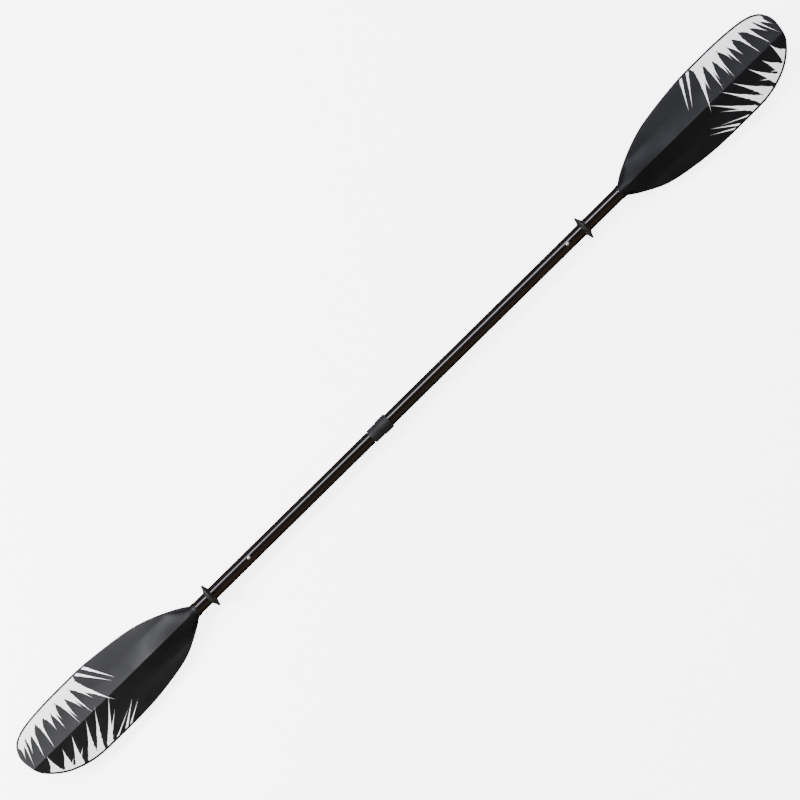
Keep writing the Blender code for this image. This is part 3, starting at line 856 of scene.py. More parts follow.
def spike_roots(tree, given):
    """A point for each spike, which carries its place on the edge, its lean, lift, width and reach."""
    line = add_node(tree, "GeometryNodeMeshLine", {"Count": given["Count"], "Offset": (0, 0, 0)})
    index = add_node(tree, "GeometryNodeInputIndex").outputs[0]
    last = add_node(tree, "ShaderNodeMath", {0: given["Count"], 1: 1.0}, operation="SUBTRACT")
    at_least_one = add_node(tree, "ShaderNodeMath", {0: last.outputs[0], 1: 1.0}, operation="MAXIMUM")
    share = add_node(tree, "ShaderNodeMath", {0: index, 1: at_least_one.outputs[0]}, operation="DIVIDE")

    stored = line.outputs[0]
    jitter = add_node(
        tree,
        "FunctionNodeRandomValue",
        {"Min": -ROOT_JITTER, "Max": ROOT_JITTER, "Seed": given["Seed"], "ID": index},
        data_type="FLOAT",
    )
    step = add_node(tree, "ShaderNodeMath", {0: 1.0, 1: at_least_one.outputs[0]}, operation="DIVIDE")
    moved = add_node(
        tree,
        "ShaderNodeMath",
        {0: jitter.outputs[RANDOM_FLOAT], 1: step.outputs[0], 2: share.outputs[0]},
        operation="MULTIPLY_ADD",
    )
    chances = []
    for offset in (10.0, 11.0):
        seed = add_node(tree, "ShaderNodeMath", {0: given["Seed"], 1: offset}, operation="ADD")
        chance = add_node(
            tree, "FunctionNodeRandomValue", {"Seed": seed.outputs[0], "ID": index}, data_type="FLOAT"
        )
        chances.append(chance.outputs[RANDOM_FLOAT])
    carried = (
        ("root", moved.outputs[0], "First", "Last"),
        ("lean", share.outputs[0], "Lean at First", "Lean at Last"),
        ("lift", share.outputs[0], "Lift at First", "Lift at Last"),
        ("width", chances[0], "Least Width", "Most Width"),
        ("reach", chances[1], "Least Reach", "Most Reach"),
    )
    for name, factor, start, end in carried:
        spread = add_node(
            tree,
            "ShaderNodeMapRange",
            {"Value": factor, "To Min": given[start], "To Max": given[end]},
            clamp=False,
        )
        stored = add_node(
            tree,
            "GeometryNodeStoreNamedAttribute",
            {"Geometry": stored, "Name": name, "Value": spread.outputs[0]},
            data_type="FLOAT",
        ).outputs[0]
    return stored


def spike_grids(tree, roots):
    """A square grid on each root, whose points carry their place on the square."""
    grid = add_node(
        tree, "GeometryNodeMeshGrid", {"Size X": 1.0, "Size Y": 1.0, "Vertices X": 11, "Vertices Y": 40}
    )
    place = add_node(tree, "GeometryNodeInputPosition").outputs[0]
    local = add_node(
        tree,
        "GeometryNodeStoreNamedAttribute",
        {"Geometry": grid.outputs["Mesh"], "Name": "on_grid", "Value": place},
        data_type="FLOAT_VECTOR",
    ).outputs[0]
    spikes = add_node(tree, "GeometryNodeInstanceOnPoints", {"Points": roots, "Instance": local})
    return add_node(tree, "GeometryNodeRealizeInstances", {"Geometry": spikes.outputs[0]}).outputs[0]


def spike_places(tree, given, carried):
    """Where each point of the grids lies on the flat print: one side of a grid lies along the blade's edge,
    and the grid narrows to a tip whose distance from the ridge is its reach."""
    edge = add_node(tree, "GeometryNodeObjectInfo", {"Object": given["Edge"]}).outputs["Geometry"]
    on_grid = add_node(tree, "ShaderNodeSeparateXYZ", {0: carried["on_grid"]})
    to_tip = add_node(tree, "ShaderNodeMath", {0: on_grid.outputs[1], 1: 0.5}, operation="ADD")
    left = add_node(tree, "ShaderNodeMath", {0: 1.0, 1: to_tip.outputs[0]}, operation="SUBTRACT")
    kept = add_node(tree, "ShaderNodeMath", {0: left.outputs[0], 1: 0.0}, operation="MAXIMUM")
    hollowed = add_node(
        tree, "ShaderNodeMath", {0: kept.outputs[0], 1: given["Hollowing"]}, operation="POWER"
    )
    # The sides are a little ragged. The noise hardly changes across a spike, so that no two columns cross.
    across = add_node(tree, "ShaderNodeMath", {0: on_grid.outputs[0], 1: RAGGED_ACROSS}, operation="MULTIPLY")
    apart = add_node(tree, "ShaderNodeMath", {0: carried["root"], 1: RAGGED_APART}, operation="MULTIPLY")
    noise_place = add_node(
        tree,
        "ShaderNodeCombineXYZ",
        {0: across.outputs[0], 1: on_grid.outputs[1], 2: apart.outputs[0]},
    )
    noise = add_node(
        tree,
        "ShaderNodeTexNoise",
        {"Vector": noise_place.outputs[0], "Scale": RAGGED_SCALE, "Detail": 4.0},
    )
    least = add_node(tree, "ShaderNodeMath", {0: 1.0, 1: given["Raggedness"]}, operation="SUBTRACT")
    most = add_node(tree, "ShaderNodeMath", {0: 1.0, 1: given["Raggedness"]}, operation="ADD")
    ragged = add_node(
        tree,
        "ShaderNodeMapRange",
        {**NOISE_RANGE, "Value": noise.outputs[0], "To Min": least.outputs[0], "To Max": most.outputs[0]},
    )
    width = add_node(
        tree, "ShaderNodeMath", {0: carried["width"], 1: ragged.outputs[0]}, operation="MULTIPLY"
    )
    half = add_node(
        tree, "ShaderNodeMath", {0: on_grid.outputs[0], 1: width.outputs[0]}, operation="MULTIPLY"
    )
    sideways = add_node(
        tree,
        "ShaderNodeMath",
        {0: half.outputs[0], 1: hollowed.outputs[0], 2: carried["root"]},
        operation="MULTIPLY_ADD",
    )
    root = add_node(
        tree,
        "GeometryNodeSampleCurve",
        {"Curves": edge, "Factor": sideways.outputs[0]},
        mode="FACTOR",
    ).outputs["Position"]
    leaning = add_node(tree, "ShaderNodeMath", {0: carried["root"], 1: carried["lean"]}, operation="ADD")
    beside = add_node(
        tree,
        "GeometryNodeSampleCurve",
        {"Curves": edge, "Factor": leaning.outputs[0]},
        mode="FACTOR",
    ).outputs["Position"]
    tip_x = add_node(tree, "ShaderNodeSeparateXYZ", {0: beside}).outputs[0]
    tip_y = add_node(tree, "ShaderNodeMath", {0: carried["reach"], 1: SHAFT.y}, operation="ADD").outputs[0]
    tip = add_node(tree, "ShaderNodeCombineXYZ", {0: tip_x, 1: tip_y}).outputs[0]
    flat = add_node(
        tree,
        "ShaderNodeMix",
        {"Factor": to_tip.outputs[0], 4: root, 5: tip},
        data_type="VECTOR",
        clamp_factor=True,
    )
    return flat.outputs[1]


def spike_print_tree():
    """Tapered spikes that stand on a stretch of the blade's edge and lean towards its neck. They are laid
    out flat, and then dropped onto the blade's face."""
    tree, given = new_tree("edge_spikes", SPIKE_INPUTS)
    kinds = {
        "on_grid": "FLOAT_VECTOR", "root": "FLOAT", "lean": "FLOAT", "lift": "FLOAT", "width": "FLOAT",
        "reach": "FLOAT", "missed": "BOOLEAN",
    }
    carried = {}
    for name, kind in kinds.items():
        found = add_node(tree, "GeometryNodeInputNamedAttribute", {"Name": name}, data_type=kind)
        carried[name] = found.outputs["Attribute"]
    grids = spike_grids(tree, spike_roots(tree, given))
    flat = spike_places(tree, given, carried)
    blade = add_node(tree, "GeometryNodeObjectInfo", {"Object": given["Blade"]}).outputs["Geometry"]
    above = add_node(tree, "ShaderNodeVectorMath", {0: flat, 1: (0, 0, DROP_HEIGHT)}, operation="ADD")
    dropped = add_node(
        tree,
        "GeometryNodeRaycast",
        {"Target Geometry": blade, "Source Position": above.outputs[0], "Ray Direction": (0, 0, -1)},
    )
    raised = add_node(tree, "ShaderNodeCombineXYZ", {2: carried["lift"]})
    on_face = add_node(
        tree,
        "ShaderNodeVectorMath",
        {0: dropped.outputs["Hit Position"], 1: raised.outputs[0]},
        operation="ADD",
    )
    missed = add_node(tree, "FunctionNodeBooleanMath", {0: dropped.outputs["Is Hit"]}, operation="NOT")
    # The ray is cast from the flat print, so its misses are found before the points move.
    marked = add_node(
        tree,
        "GeometryNodeStoreNamedAttribute",
        {"Geometry": grids, "Name": "missed", "Value": missed.outputs[0]},
        data_type="BOOLEAN",
    )
    laid = add_node(
        tree, "GeometryNodeSetPosition", {"Geometry": marked.outputs[0], "Position": on_face.outputs[0]}
    )
    cleared = add_node(
        tree, "GeometryNodeDeleteGeometry", {"Geometry": laid.outputs[0], "Selection": carried["missed"]}
    )
    merged = add_node(
        tree, "GeometryNodeMergeByDistance", {"Geometry": cleared.outputs[0], "Distance": PRINT_WELD}
    )
    joined = add_node(tree, "GeometryNodeRealizeInstances", {"Geometry": merged.outputs[0]})
    inked = add_node(
        tree, "GeometryNodeSetMaterial", {"Geometry": joined.outputs[0], "Material": given["Ink"]}
    )
    add_node(tree, "NodeGroupOutput", {"Geometry": inked.outputs[0]})
    return tree


def grown(tree, name, values):
    """The mesh that a node tree makes with these inputs."""
    holder = linked(name, bpy.data.meshes.new(name))
    modifier = holder.modifiers.new("nodes", "NODES")
    modifier.node_group = tree
    sockets = {item.name: item.identifier for item in tree.interface.items_tree if item.in_out == "INPUT"}
    for key, value in values.items():
        modifier[sockets[key]] = value
    return evaluated_mesh(holder)


def inked_sheet(name, shape, ink, thickness, body):
    """A printed film with a little thickness, so that it's closed and sinks into what it's printed on."""
    for face in shape.faces:
        face.normal_update()
        if face.normal.z < 0:
            face.normal_flip()
    holder = linked(name + "_flat", mesh_from(name + "_flat", shape))
    solid = holder.modifiers.new("thickness", "SOLIDIFY")
    solid.thickness = thickness
    solid.offset = -1
    return new_piece(name, shape_from(evaluated_mesh(holder)), ink, body)


# Groups of spikes on each edge. First to Last is a group's stretch of the edge. Widths and leans are shares
# of the edge's length, and a reach is a tip's distance from the ridge.
LONG_GROUPS = (
    {"Count": 9, "First": 0.575, "Last": 0.85, "Least Width": 0.06, "Most Width": 0.08,
     "Lean at First": -0.035, "Lean at Last": 0.065, "Least Reach": 8 * MM, "Most Reach": 34 * MM,
     "Hollowing": 1.15, "Seed": 5},
    {"Count": 6, "First": 0.61, "Last": 0.84, "Least Width": 0.02, "Most Width": 0.036,
     "Lean at First": -0.03, "Lean at Last": 0.06, "Least Reach": -2 * MM, "Most Reach": 12 * MM,
     "Hollowing": 0.9, "Seed": 16},
    {"Count": 2, "First": 0.495, "Last": 0.53, "Least Width": 0.014, "Most Width": 0.022,
     "Lean at First": -0.07, "Lean at Last": -0.09, "Least Reach": 8 * MM, "Most Reach": 30 * MM,
     "Hollowing": 0.45, "Seed": 8},
    {"Count": 1, "First": 0.58, "Last": 0.58, "Least Width": 0.05, "Most Width": 0.05,
     "Lean at First": -0.1, "Lean at Last": -0.1, "Least Reach": -16 * MM, "Most Reach": -16 * MM,
     "Hollowing": 0.75, "Seed": 3},
)
SHORT_GROUPS = (
    {"Count": 3, "First": 0.53, "Last": 0.605, "Least Width": 0.011, "Most Width": 0.017,
     "Lean at First": -0.095, "Lean at Last": -0.115, "Least Reach": -52 * MM, "Most Reach": -34 * MM,
     "Hollowing": 0.4, "Seed": 12},
    {"Count": 6, "First": 0.645, "Last": 0.895, "Least Width": 0.032, "Most Width": 0.054,
     "Lean at First": -0.14, "Lean at Last": -0.02, "Least Reach": -12 * MM, "Most Reach": 8 * MM,
     "Hollowing": 0.75, "Seed": 14},
    {"Count": 4, "First": 0.67, "Last": 0.86, "Least Width": 0.01, "Most Width": 0.02,
     "Lean at First": -0.12, "Lean at Last": -0.04, "Least Reach": -44 * MM, "Most Reach": -24 * MM,
     "Hollowing": 0.5, "Seed": 27},
)


def blade_print(form, blade, tree, name):
    """The spikes along both edges, as one sheet. Groups that overlap lie at slightly different heights, so
    that no two faces coincide."""
    sheets = []
    for shares, half_width, side, groups in (
        (LONG_EDGE, form.long_half, 1, LONG_GROUPS),
        (SHORT_EDGE, form.short_half, -1, SHORT_GROUPS),
    ):
        edge = poly_curve(name + "_edge", inset_edge(form, shares, half_width, side))
        for i, group in enumerate(groups):
            values = {
                "Edge": edge,
                "Blade": blade,
                "Ink": WHITE_INK,
                "Lift at First": PRINT_LIFT + i * LAYER_STEP,
                "Lift at Last": PRINT_LIFT + (i + 0.8) * LAYER_STEP,
            }
            sheets.append(grown(tree, name, {**values, **group}))
        bpy.data.objects.remove(edge)
    return shape_from(*sheets)


def build_blade(word, body, tree):
    form = BladeForm(word + "_blade")
    name = word + "_blade_moulding"
    blade = new_piece(name, blade_shape(form), POLYPROPYLENE, body, [word + "_blade"], 24)
    name = word + "_blade_print"
    inked_sheet(name, blade_print(form, blade, tree, name), WHITE_INK, PRINT_THICKNESS, body)
    build_neck_bead(word, body, form)


def build_neck_bead(word, body, form):
    """The bead of glue that was wiped round the tube where it enters the neck."""
    bead = [(0.02 * MM, -1.1 * MM), (0.9 * MM, 0.1 * MM), (0.25 * MM, 0.6 * MM), (0.02 * MM, 0.6 * MM)]
    corners = [((TUBE_R + proud, form.neck_end + form.side * place), 0.4 * MM) for proud, place in bead]
    new_piece(word + "_neck_bead", turned_shape(filleted(corners, 4)), EPOXY, body)


# Shaft


def holed_tube(node, button, outer, wall):
    """A tube with a hole for the snap button, and edge loops by the hole that keep its shading clean."""
    x = middle_of(button).x
    loops = [x + way * reach for way in (-1, 1) for reach in HOLE_LOOPS]
    shape = turned_shape(edge_rounded_tube(outer, outer - wall, *ends_of(node), loops))
    return bore_hole(shape, x, BUTTON_RADIUS + CLEARANCE, SHAFT.z, SHAFT.z + 2 * TUBE_R)


def build_blade_tube(word, body):
    shape = holed_tube(word + "_blade_tube", word + "_snap_button", TUBE_R, TUBE_WALL)
    new_piece(word + "_blade_tube_glossy", shape, GLASS_FIBRE, body, [word + "_blade_tube"])


def build_end_ferrule(word, body):
    outer = TUBE_R - TUBE_WALL - CLEARANCE
    shape = holed_tube(word + "_end_ferrule", word + "_snap_button", outer, FERRULE_WALL)
    name = word + "_end_ferrule_ground"
    new_piece(name, shape, GREY_FERRULE, body, [word + "_end_ferrule"])


def build_centre_tube(word, body):
    low, high = ends_of(word + "_centre_tube")
    loops = [mix(low, high, i / 6) for i in range(1, 6)]
    shape = turned_shape(edge_rounded_tube(TUBE_R, TUBE_R - TUBE_WALL, low, high, loops))
    new_piece(word + "_centre_tube_glossy", shape, GLASS_FIBRE, body, [word + "_centre_tube"])


def build_drip_ring(word, body):
    """A moulded ring: hollow flares rise from a beaded lip at each end to a round-edged flange."""
    low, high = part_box(word + "_drip_ring")
    side = 1 if low.x > 0 else -1
    start = low.x if side > 0 else high.x
    length = high.x - low.x
    tip = (high.z - low.z) / 2
    bore = TUBE_R + CLEARANCE
    lip = bore + RING_LIP
    flange = RING_TIP_SHARE * length
    rise = tip - RING_TIP_ROUND - lip
    flares = []
    edges = ((length, flange + RING_TIP / 2), (0, flange - RING_TIP / 2))
    for (steps, power, bead_width), (start_place, end_place) in zip(RING_FLARES, edges):
        flare = []
        for i in range(steps + 1):
            share = i / steps
            bead = RING_BEAD * math.exp(-((share / bead_width) ** 2))
            flare.append((lip + rise * share**power + bead, mix(start_place, end_place, share)))
        flares.append(flare)
    flat = RING_TIP / 2 - RING_TIP_ROUND
    rim = []
    for way in (1, -1):
        for i in range(1, RING_RIM_STEPS + 1):
            turned = i / RING_RIM_STEPS if way > 0 else 1 - (i - 1) / RING_RIM_STEPS
            angle = math.pi / 2 * turned
            around = RING_TIP_ROUND * math.cos(angle)
            rim.append((tip - RING_TIP_ROUND * (1 - math.sin(angle)), flange + way * (flat + around)))
    wide, deep = RING_BORE_EDGE
    inner = [(bore + wide, 0), (bore, deep), (bore, length - deep), (bore + wide, length)]
    profile = flares[0] + rim + flares[1][::-1] + inner
    shape = turned_shape([(radius, start + side * place) for radius, place in profile])
    new_piece(word + "_drip_ring_moulded", shape, RUBBER, body, [word + "_drip_ring"], 50)


def build_snap_button(word, body):
    """A domed pin on a flange that stays inside the tube."""
    low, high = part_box(word + "_snap_button")
    centre = middle_of(word + "_snap_button")
    outline = []
    for i in range(BUTTON_STEPS + 1):
        angle = math.pi / 2 * i / BUTTON_STEPS
        outline.append((BUTTON_RADIUS * math.sin(angle), high.z - BUTTON_DOME * (1 - math.cos(angle))))
    flange = BUTTON_RADIUS + BUTTON_FLANGE
    shoulder = low.z + BUTTON_FLANGE
    outline += [
        (BUTTON_RADIUS, shoulder), (flange - BUTTON_EDGE, shoulder), (flange, shoulder - BUTTON_EDGE),
        (flange, low.z), (0, low.z),
    ]
    shape = turned_shape(outline, SMALL_SIDES, "Z", centre)
    new_piece(word + "_snap_button_polished", shape, POLISHED_STEEL, body, [word + "_snap_button"])


def build_button_spring(word, body):
    """A strip bent to a V, with a mesh of its own. On the real paddle its upper leg goes down with the button
    when that is pressed, and the strip is squashed.
    """
    low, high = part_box(word + "_button_spring")
    side = 1 if low.x > 0 else -1
    open_end = high.x if side > 0 else low.x
    closed_end = low.x if side > 0 else high.x
    half = SPRING_THICKNESS / 2
    apex = closed_end + side * (SPRING_APEX_RADIUS + half)
    bottom = low.z + half
    top = high.z - half
    middle = (bottom + top) / 2
    path = [(open_end, bottom), (apex + side * 3 * SPRING_APEX_RADIUS, bottom)]
    for i in range(SPRING_BEND_STEPS + 1):
        angle = math.radians(-90 - 180 * i / SPRING_BEND_STEPS)
        place = apex + side * SPRING_APEX_RADIUS * math.cos(angle)
        path.append((place, middle + SPRING_APEX_RADIUS * math.sin(angle)))
    path += [(open_end - side * SPRING_FLAT_END, top), (open_end, top)]
    strip = bmesh.new()
    pairs = []
    for x, z in path:
        pairs.append([strip.verts.new((x, SHAFT.y + way * SPRING_WIDTH / 2, z)) for way in (-1, 1)])
    for start, end in zip(pairs, pairs[1:]):
        strip.faces.new((start[0], start[1], end[1], end[0]))
    holder = linked("strip", mesh_from("strip", strip))
    thickness = holder.modifiers.new("thickness", "SOLIDIFY")
    thickness.thickness = SPRING_THICKNESS
    thickness.offset = 0
    edge = holder.modifiers.new("edge", "BEVEL")
    edge.width = SPRING_EDGE
    edge.segments = 2
    shape = shape_from(evaluated_mesh(holder))
    name = word + "_button_spring_rolled"
    spring = new_piece(name, shape, SPRING_STEEL, body, [word + "_button_spring"], 40)
    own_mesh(spring)


def build_collar_body():
    """The bonded part: rounded shoulders, a shallow groove, and a spigot that the lock ring covers."""
    low, high = ends_of("collar_body")
    body_r = outer_radius("collar_body")
    step = ends_of("lock_ring")[1] + CLEARANCE
    sleeve = TUBE_R + CLEARANCE
    throat = sleeve - THROAT_STEP
    spigot = throat + SPIGOT_WALL
    seat = step + SEAT_DEPTH
    band = step + BAND_PLACE
    band_r = body_r - BAND_DEPTH
    floor_half = BAND_HALF_WIDTH / 2
    # Each corner has its radius, its place and its fillet in millimetres.
    corners = (
        (sleeve, high, 0.3), (body_r, high, 1.5),
        (body_r, band + BAND_HALF_WIDTH, 0.2), (band_r, band + floor_half, 0.2),
        (band_r, band - floor_half, 0.2), (body_r, band - BAND_HALF_WIDTH, 0.2),
        (body_r, step, 1.3), (spigot, step, 0.1), (spigot, low, 0.4),
        (throat, low, 0.2), (throat, seat, 0.1), (sleeve, seat, 0.1),
    )
    shape = turned_shape(filleted([((radius, place), fillet * MM) for radius, place, fillet in corners]))
    new_piece("collar_body_moulded", shape, COLLAR_NYLON, "right_half", ["collar_body"], 40)


def build_lock_ring():
    """The turning part, with the seal's slot and the collet's cone in it and fine grip ribs round it."""
    low, high = ends_of("lock_ring")
    lock_r = outer_radius("lock_ring")
    throat = TUBE_R + CLEARANCE - THROAT_STEP
    bore = throat + SPIGOT_WALL + CLEARANCE
    slot_r = throat + SEAL_SLOT_DEPTH
    corners = (
        (bore, high, 0.2), (lock_r, high, 0.7), (lock_r, low, 1.5), (throat, low, 0.3),
        (throat, low + SEAL_WALL, 0.05), (slot_r, low + SEAL_WALL, 0.05),
        (slot_r, low + SEAL_SLOT_END, 0.05), (bore - CONE_NARROW, low + CONE_START, 0.05),
        (bore - CONE_WIDE, low + CONE_END, 0.05), (bore, low + THREAD_START, 0.05),
    )
    shape = turned_shape(filleted([((radius, place), fillet * MM) for radius, place, fillet in corners]))
    new_piece("lock_ring_moulded", shape, COLLAR_NYLON, "lock_ring", ["lock_ring"], 40)
    ribs = grown(grip_rib_tree(), "lock_ring_ribs", {
        "Finish": COLLAR_NYLON,
        "Count": RIB_COUNT,
        "Radius": lock_r,
        "Length": high - low - RIB_MARGIN,
        "Middle": (low + high) / 2 + RIB_SHIFT,
    })
    new_piece("lock_ring_ribs", shape_from(ribs), COLLAR_NYLON, "lock_ring", (), 60)


RIB_INPUTS = {
    "Finish": ("NodeSocketMaterial", None),
    "Count": ("NodeSocketInt", 40),
    "Radius": ("NodeSocketFloat", 0.016),
    "Length": ("NodeSocketFloat", 0.02),
    "Middle": ("NodeSocketFloat", 0.0),
    "Rib Width": ("NodeSocketFloat", RIB_WIDTH),
    "Rib Height": ("NodeSocketFloat", RIB_HEIGHT),
}


def grip_rib_tree():
    """Low ribs with round ends, set round a ring and lying along the shaft."""
    tree, given = new_tree("grip_ribs", RIB_INPUTS)
    circle = add_node(
        tree, "GeometryNodeMeshCircle", {"Vertices": given["Count"], "Radius": given["Radius"]}
    )
    ball = add_node(tree, "GeometryNodeMeshUVSphere", {"Segments": 10, "Rings": 8, "Radius": 0.5})
    place = add_node(tree, "GeometryNodeInputPosition").outputs[0]
    axes = add_node(tree, "ShaderNodeSeparateXYZ", {0: place}).outputs
    # The ball's upper and lower halves are drawn apart, which leaves round ends on a straight rib.
    way = add_node(tree, "ShaderNodeMath", {0: axes[2]}, operation="SIGN")
    straight = add_node(
        tree, "ShaderNodeMath", {0: given["Length"], 1: given["Rib Width"]}, operation="SUBTRACT"
    )
    stretch = add_node(tree, "ShaderNodeMath", {0: straight.outputs[0], 1: 0.5}, operation="MULTIPLY")
    shift = add_node(
        tree, "ShaderNodeMath", {0: way.outputs[0], 1: stretch.outputs[0]}, operation="MULTIPLY"
    )
    long_z = add_node(
        tree,
        "ShaderNodeMath",
        {0: axes[2], 1: given["Rib Width"], 2: shift.outputs[0]},
        operation="MULTIPLY_ADD",
    )
    wide_y = add_node(tree, "ShaderNodeMath", {0: axes[1], 1: given["Rib Width"]}, operation="MULTIPLY")
    twice = add_node(tree, "ShaderNodeMath", {0: given["Rib Height"], 1: 2.0}, operation="MULTIPLY")
    high_x = add_node(tree, "ShaderNodeMath", {0: axes[0], 1: twice.outputs[0]}, operation="MULTIPLY")
    shaped = add_node(
        tree,
        "ShaderNodeCombineXYZ",
        {0: high_x.outputs[0], 1: wide_y.outputs[0], 2: long_z.outputs[0]},
    )
    rib = add_node(
        tree, "GeometryNodeSetPosition", {"Geometry": ball.outputs["Mesh"], "Position": shaped.outputs[0]}
    )
    round_place = add_node(tree, "GeometryNodeInputPosition").outputs[0]
    outward = add_node(
        tree, "FunctionNodeAlignRotationToVector", {"Vector": round_place}, axis="X", pivot_axis="Z"
    )
    ribs = add_node(
        tree,
        "GeometryNodeInstanceOnPoints",
        {"Points": circle.outputs[0], "Instance": rib.outputs[0], "Rotation": outward.outputs[0]},
    )
    real = add_node(tree, "GeometryNodeRealizeInstances", {"Geometry": ribs.outputs[0]})
    centre = add_node(tree, "ShaderNodeCombineXYZ", {0: given["Middle"], 1: SHAFT.y, 2: SHAFT.z})
    laid = add_node(
        tree,
        "GeometryNodeTransform",
        {"Geometry": real.outputs[0], "Translation": centre.outputs[0], "Rotation": (0, math.pi / 2, 0)},
    )
    finished = add_node(
        tree, "GeometryNodeSetMaterial", {"Geometry": laid.outputs[0], "Material": given["Finish"]}
    )
    add_node(tree, "NodeGroupOutput", {"Geometry": finished.outputs[0]})
    return tree


SCALE_INPUTS = {
    "Ink": ("NodeSocketMaterial", None),
    "Start": ("NodeSocketFloat", 0.0),
    "Length": ("NodeSocketFloat", 0.1),
    "Pitch": ("NodeSocketFloat", TICK_PITCH),
    "Tick Length": ("NodeSocketFloat", 4 * MM),
    "Tick Width": ("NodeSocketFloat", 0.7 * MM),
    "Column Gap": ("NodeSocketFloat", 7 * MM),
    "Radius": ("NodeSocketFloat", 0.012),
}


def printed_scale_tree():
    """A scale round a tube's upper side: a tick at each pitch in the middle, one at every second pitch on
    each side, and a row of small arrowheads at its start."""
    tree, given = new_tree("printed_scale", SCALE_INPUTS)
    tick = add_node(
        tree,
        "GeometryNodeMeshGrid",
        {"Size X": given["Tick Width"], "Size Y": given["Tick Length"], "Vertices X": 2, "Vertices Y": 9},
    ).outputs["Mesh"]
    head = add_node(
        tree, "GeometryNodeMeshCircle", {"Vertices": 3, "Radius": ARROW_RADIUS}, fill_type="NGON"
    )
    before = add_node(tree, "ShaderNodeMath", {0: given["Start"], 1: ARROW_GAP}, operation="SUBTRACT")
    columns = []
    for side, pitches in ((0.0, 1.0), (-1.0, 2.0), (1.0, 2.0)):
        pitch = add_node(tree, "ShaderNodeMath", {0: given["Pitch"], 1: pitches}, operation="MULTIPLY")
        fits = add_node(
            tree, "ShaderNodeMath", {0: given["Length"], 1: pitch.outputs[0]}, operation="DIVIDE"
        )
        count = add_node(tree, "ShaderNodeMath", {0: fits.outputs[0], 1: 1.0}, operation="ADD")
        offset = add_node(tree, "ShaderNodeCombineXYZ", {0: pitch.outputs[0]})
        aside = add_node(tree, "ShaderNodeMath", {0: given["Column Gap"], 1: side}, operation="MULTIPLY")
        start = add_node(tree, "ShaderNodeCombineXYZ", {0: given["Start"], 1: aside.outputs[0]})
        line = add_node(
            tree,
            "GeometryNodeMeshLine",
            {"Count": count.outputs[0], "Start Location": start.outputs[0], "Offset": offset.outputs[0]},
        )
        column = add_node(
            tree, "GeometryNodeInstanceOnPoints", {"Points": line.outputs[0], "Instance": tick}
        )
        spot = add_node(tree, "ShaderNodeCombineXYZ", {0: before.outputs[0], 1: aside.outputs[0]})
        arrow = add_node(
            tree, "GeometryNodeTransform", {"Geometry": head.outputs[0], "Translation": spot.outputs[0]}
        )
        columns += [column.outputs[0], arrow.outputs[0]]
    join = tree.nodes.new("GeometryNodeJoinGeometry")
    for column in columns:
        tree.links.new(column, join.inputs[0])
    real = add_node(tree, "GeometryNodeRealizeInstances", {"Geometry": join.outputs[0]})
    # What lay across the flat scale is wrapped round the tube.
    place = add_node(tree, "GeometryNodeInputPosition").outputs[0]
    axes = add_node(tree, "ShaderNodeSeparateXYZ", {0: place}).outputs
    angle = add_node(tree, "ShaderNodeMath", {0: axes[1], 1: given["Radius"]}, operation="DIVIDE")
    round_tube = []
    for turn, centre in (("SINE", SHAFT.y), ("COSINE", SHAFT.z)):
        part = add_node(tree, "ShaderNodeMath", {0: angle.outputs[0]}, operation=turn)
        at = add_node(
            tree,
            "ShaderNodeMath",
            {0: part.outputs[0], 1: given["Radius"], 2: centre},
            operation="MULTIPLY_ADD",
        )
        round_tube.append(at.outputs[0])
    wrapped = add_node(tree, "ShaderNodeCombineXYZ", {0: axes[0], 1: round_tube[0], 2: round_tube[1]})
    laid = add_node(
        tree, "GeometryNodeSetPosition", {"Geometry": real.outputs[0], "Position": wrapped.outputs[0]}
    )
    inked = add_node(
        tree, "GeometryNodeSetMaterial", {"Geometry": laid.outputs[0], "Material": given["Ink"]}
    )
    add_node(tree, "NodeGroupOutput", {"Geometry": inked.outputs[0]})
    return tree


def build_graduated_ferrule():
    low, high = ends_of("graduated_ferrule")
    outer = outer_radius("graduated_ferrule")
    loops = [mix(low, high, i / 4) for i in range(1, 4)]
    shape = turned_shape(edge_rounded_tube(outer, outer - FERRULE_WALL, low, high, loops))
    name = "graduated_ferrule_ground"
    new_piece(name, shape, BLACK_FERRULE, "left_half", ["graduated_ferrule"])
    marks = grown(printed_scale_tree(), "scale", {
        "Ink": SCALE_INK,
        "Start": ends_of("left_centre_tube")[1] + SCALE_START,
        "Length": SCALE_LENGTH,
        "Radius": outer + SCALE_LIFT,
    })
    name = "graduated_ferrule_scale"
    inked_sheet(name, shape_from(marks), SCALE_INK, SCALE_THICKNESS, "left_half")


def build_hidden_pieces():
    """What lies inside keeps its CAD shape and gets a real finish."""
    finishes = {
        "right_blade_plug": FOAM, "left_blade_plug": FOAM, "right_centre_plug": FOAM,
        "left_centre_plug": FOAM, "guide_bush": NATURAL_NYLON, "split_collet": NATURAL_NYLON,
        "ferrule_o_ring": RUBBER, "collar_seal": RUBBER,
    }
    for name, material in finishes.items():
        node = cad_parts[name]
        node.data.materials.clear()
        node.data.materials.append(material)


# Studio


def build_floor():
    """Matt white paper that glows a little, so that it stays pale between the lights."""
    mesh = bpy.data.meshes.new("paper_floor")
    corners = [(x * FLOOR_HALF, y * FLOOR_HALF, 0) for x, y in ((-1, -1), (1, -1), (1, 1), (-1, 1))]
    mesh.from_pydata(corners, [], [(0, 1, 2, 3)])
    floor = linked("paper_floor", mesh)
    material, tree, shader, _ = new_finish("white_paper", 0.9)
    set_inputs(tree, shader, {
        "Base Color": colour("#f5f5f4"),
        "Emission Color": colour("#ffffff"),
        "Emission Strength": FLOOR_GLOW,
    })
    mesh.materials.append(material)
    floor.visible_glossy = False


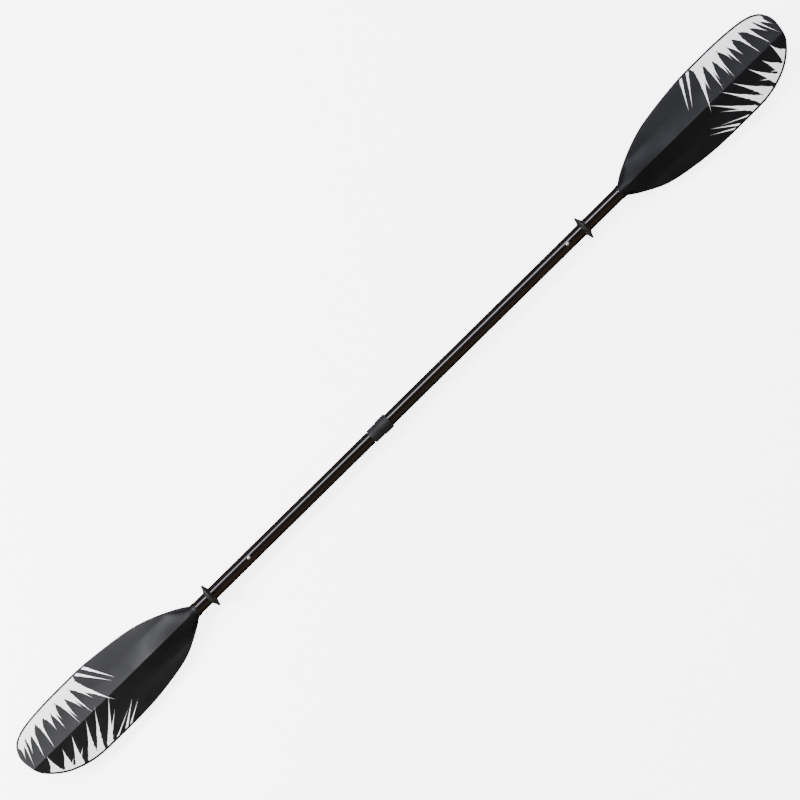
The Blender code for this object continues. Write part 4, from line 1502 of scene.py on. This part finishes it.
def area_light(name, size_x, size_y, location, power, tint="#ffffff", glossy=True):
    """A rectangular light aimed at the middle of the shaft, with its first side along the shaft."""
    light = bpy.data.lights.new(name, "AREA")
    light.shape = "RECTANGLE"
    light.size = size_x
    light.size_y = size_y
    light.energy = power
    light.color = colour(tint)[:3]
    obj = linked(name, light)
    obj.location = location
    aim = (SHAFT - Vector(location)).normalized()
    across = aim.cross(Vector((1, 0, 0))).normalized()
    obj.rotation_euler = Matrix((Vector((1, 0, 0)), -across, -aim)).transposed().to_euler()
    obj.visible_glossy = glossy


def beside_shaft(tilt, reach, x=0.0):
    """A place beyond the long edges (or the short ones, with a negative tilt), tilted from straight up."""
    return (x, reach * math.sin(math.radians(tilt)), reach * math.cos(math.radians(tilt)))


def build_lights():
    """A long strip beyond the long edges draws the line on the tubes, a dim warm card opposite it gives
    their lower side its glow, and a box past the left blade lifts its wing. The rest is without gloss."""
    area_light("strip", 5.5, 0.78, beside_shaft(39.5, 2.4), 115, "#eceeff")
    area_light("warm_card", 5.5, 2.5, beside_shaft(-52, 2.4), 9, "#ffd2b4")
    area_light("left_box", 1.2, 1.2, beside_shaft(39, 1.9, -2.2), 130)
    area_light("overhead", 4, 4, (0.6, 0.8, 3.6), 130, glossy=False)
    world = bpy.data.worlds.new("studio")
    bpy.context.scene.world = world
    world.use_nodes = True
    background = world.node_tree.nodes["Background"]
    background.inputs["Color"].default_value = colour("#ffffff")
    background.inputs["Strength"].default_value = 0.42
    world.cycles_visibility.glossy = False


def build_camera():
    """Straight down on the faces through a long lens. The shaft runs from lower left to upper right."""
    lens = bpy.data.cameras.new("camera")
    lens.lens = LENS_LENGTH
    camera = linked("camera", lens)
    distance = VIEW_WIDTH * lens.lens / lens.sensor_width
    camera.location = (*VIEW_CENTRE, SHAFT.z + distance)
    camera.rotation_euler = (0, 0, VIEW_TURN)
    bpy.context.scene.camera = camera


def main():
    tree = spike_print_tree()
    for word in ("right", "left"):
        body = word + "_half"
        build_blade(word, body, tree)
        build_blade_tube(word, body)
        build_end_ferrule(word, body)
        build_centre_tube(word, body)
        build_drip_ring(word, word + "_ring")
        build_snap_button(word, word + "_button")
        build_button_spring(word, body)
    build_collar_body()
    build_lock_ring()
    build_graduated_ferrule()
    build_hidden_pieces()
    build_floor()
    build_lights()
    build_camera()


main()
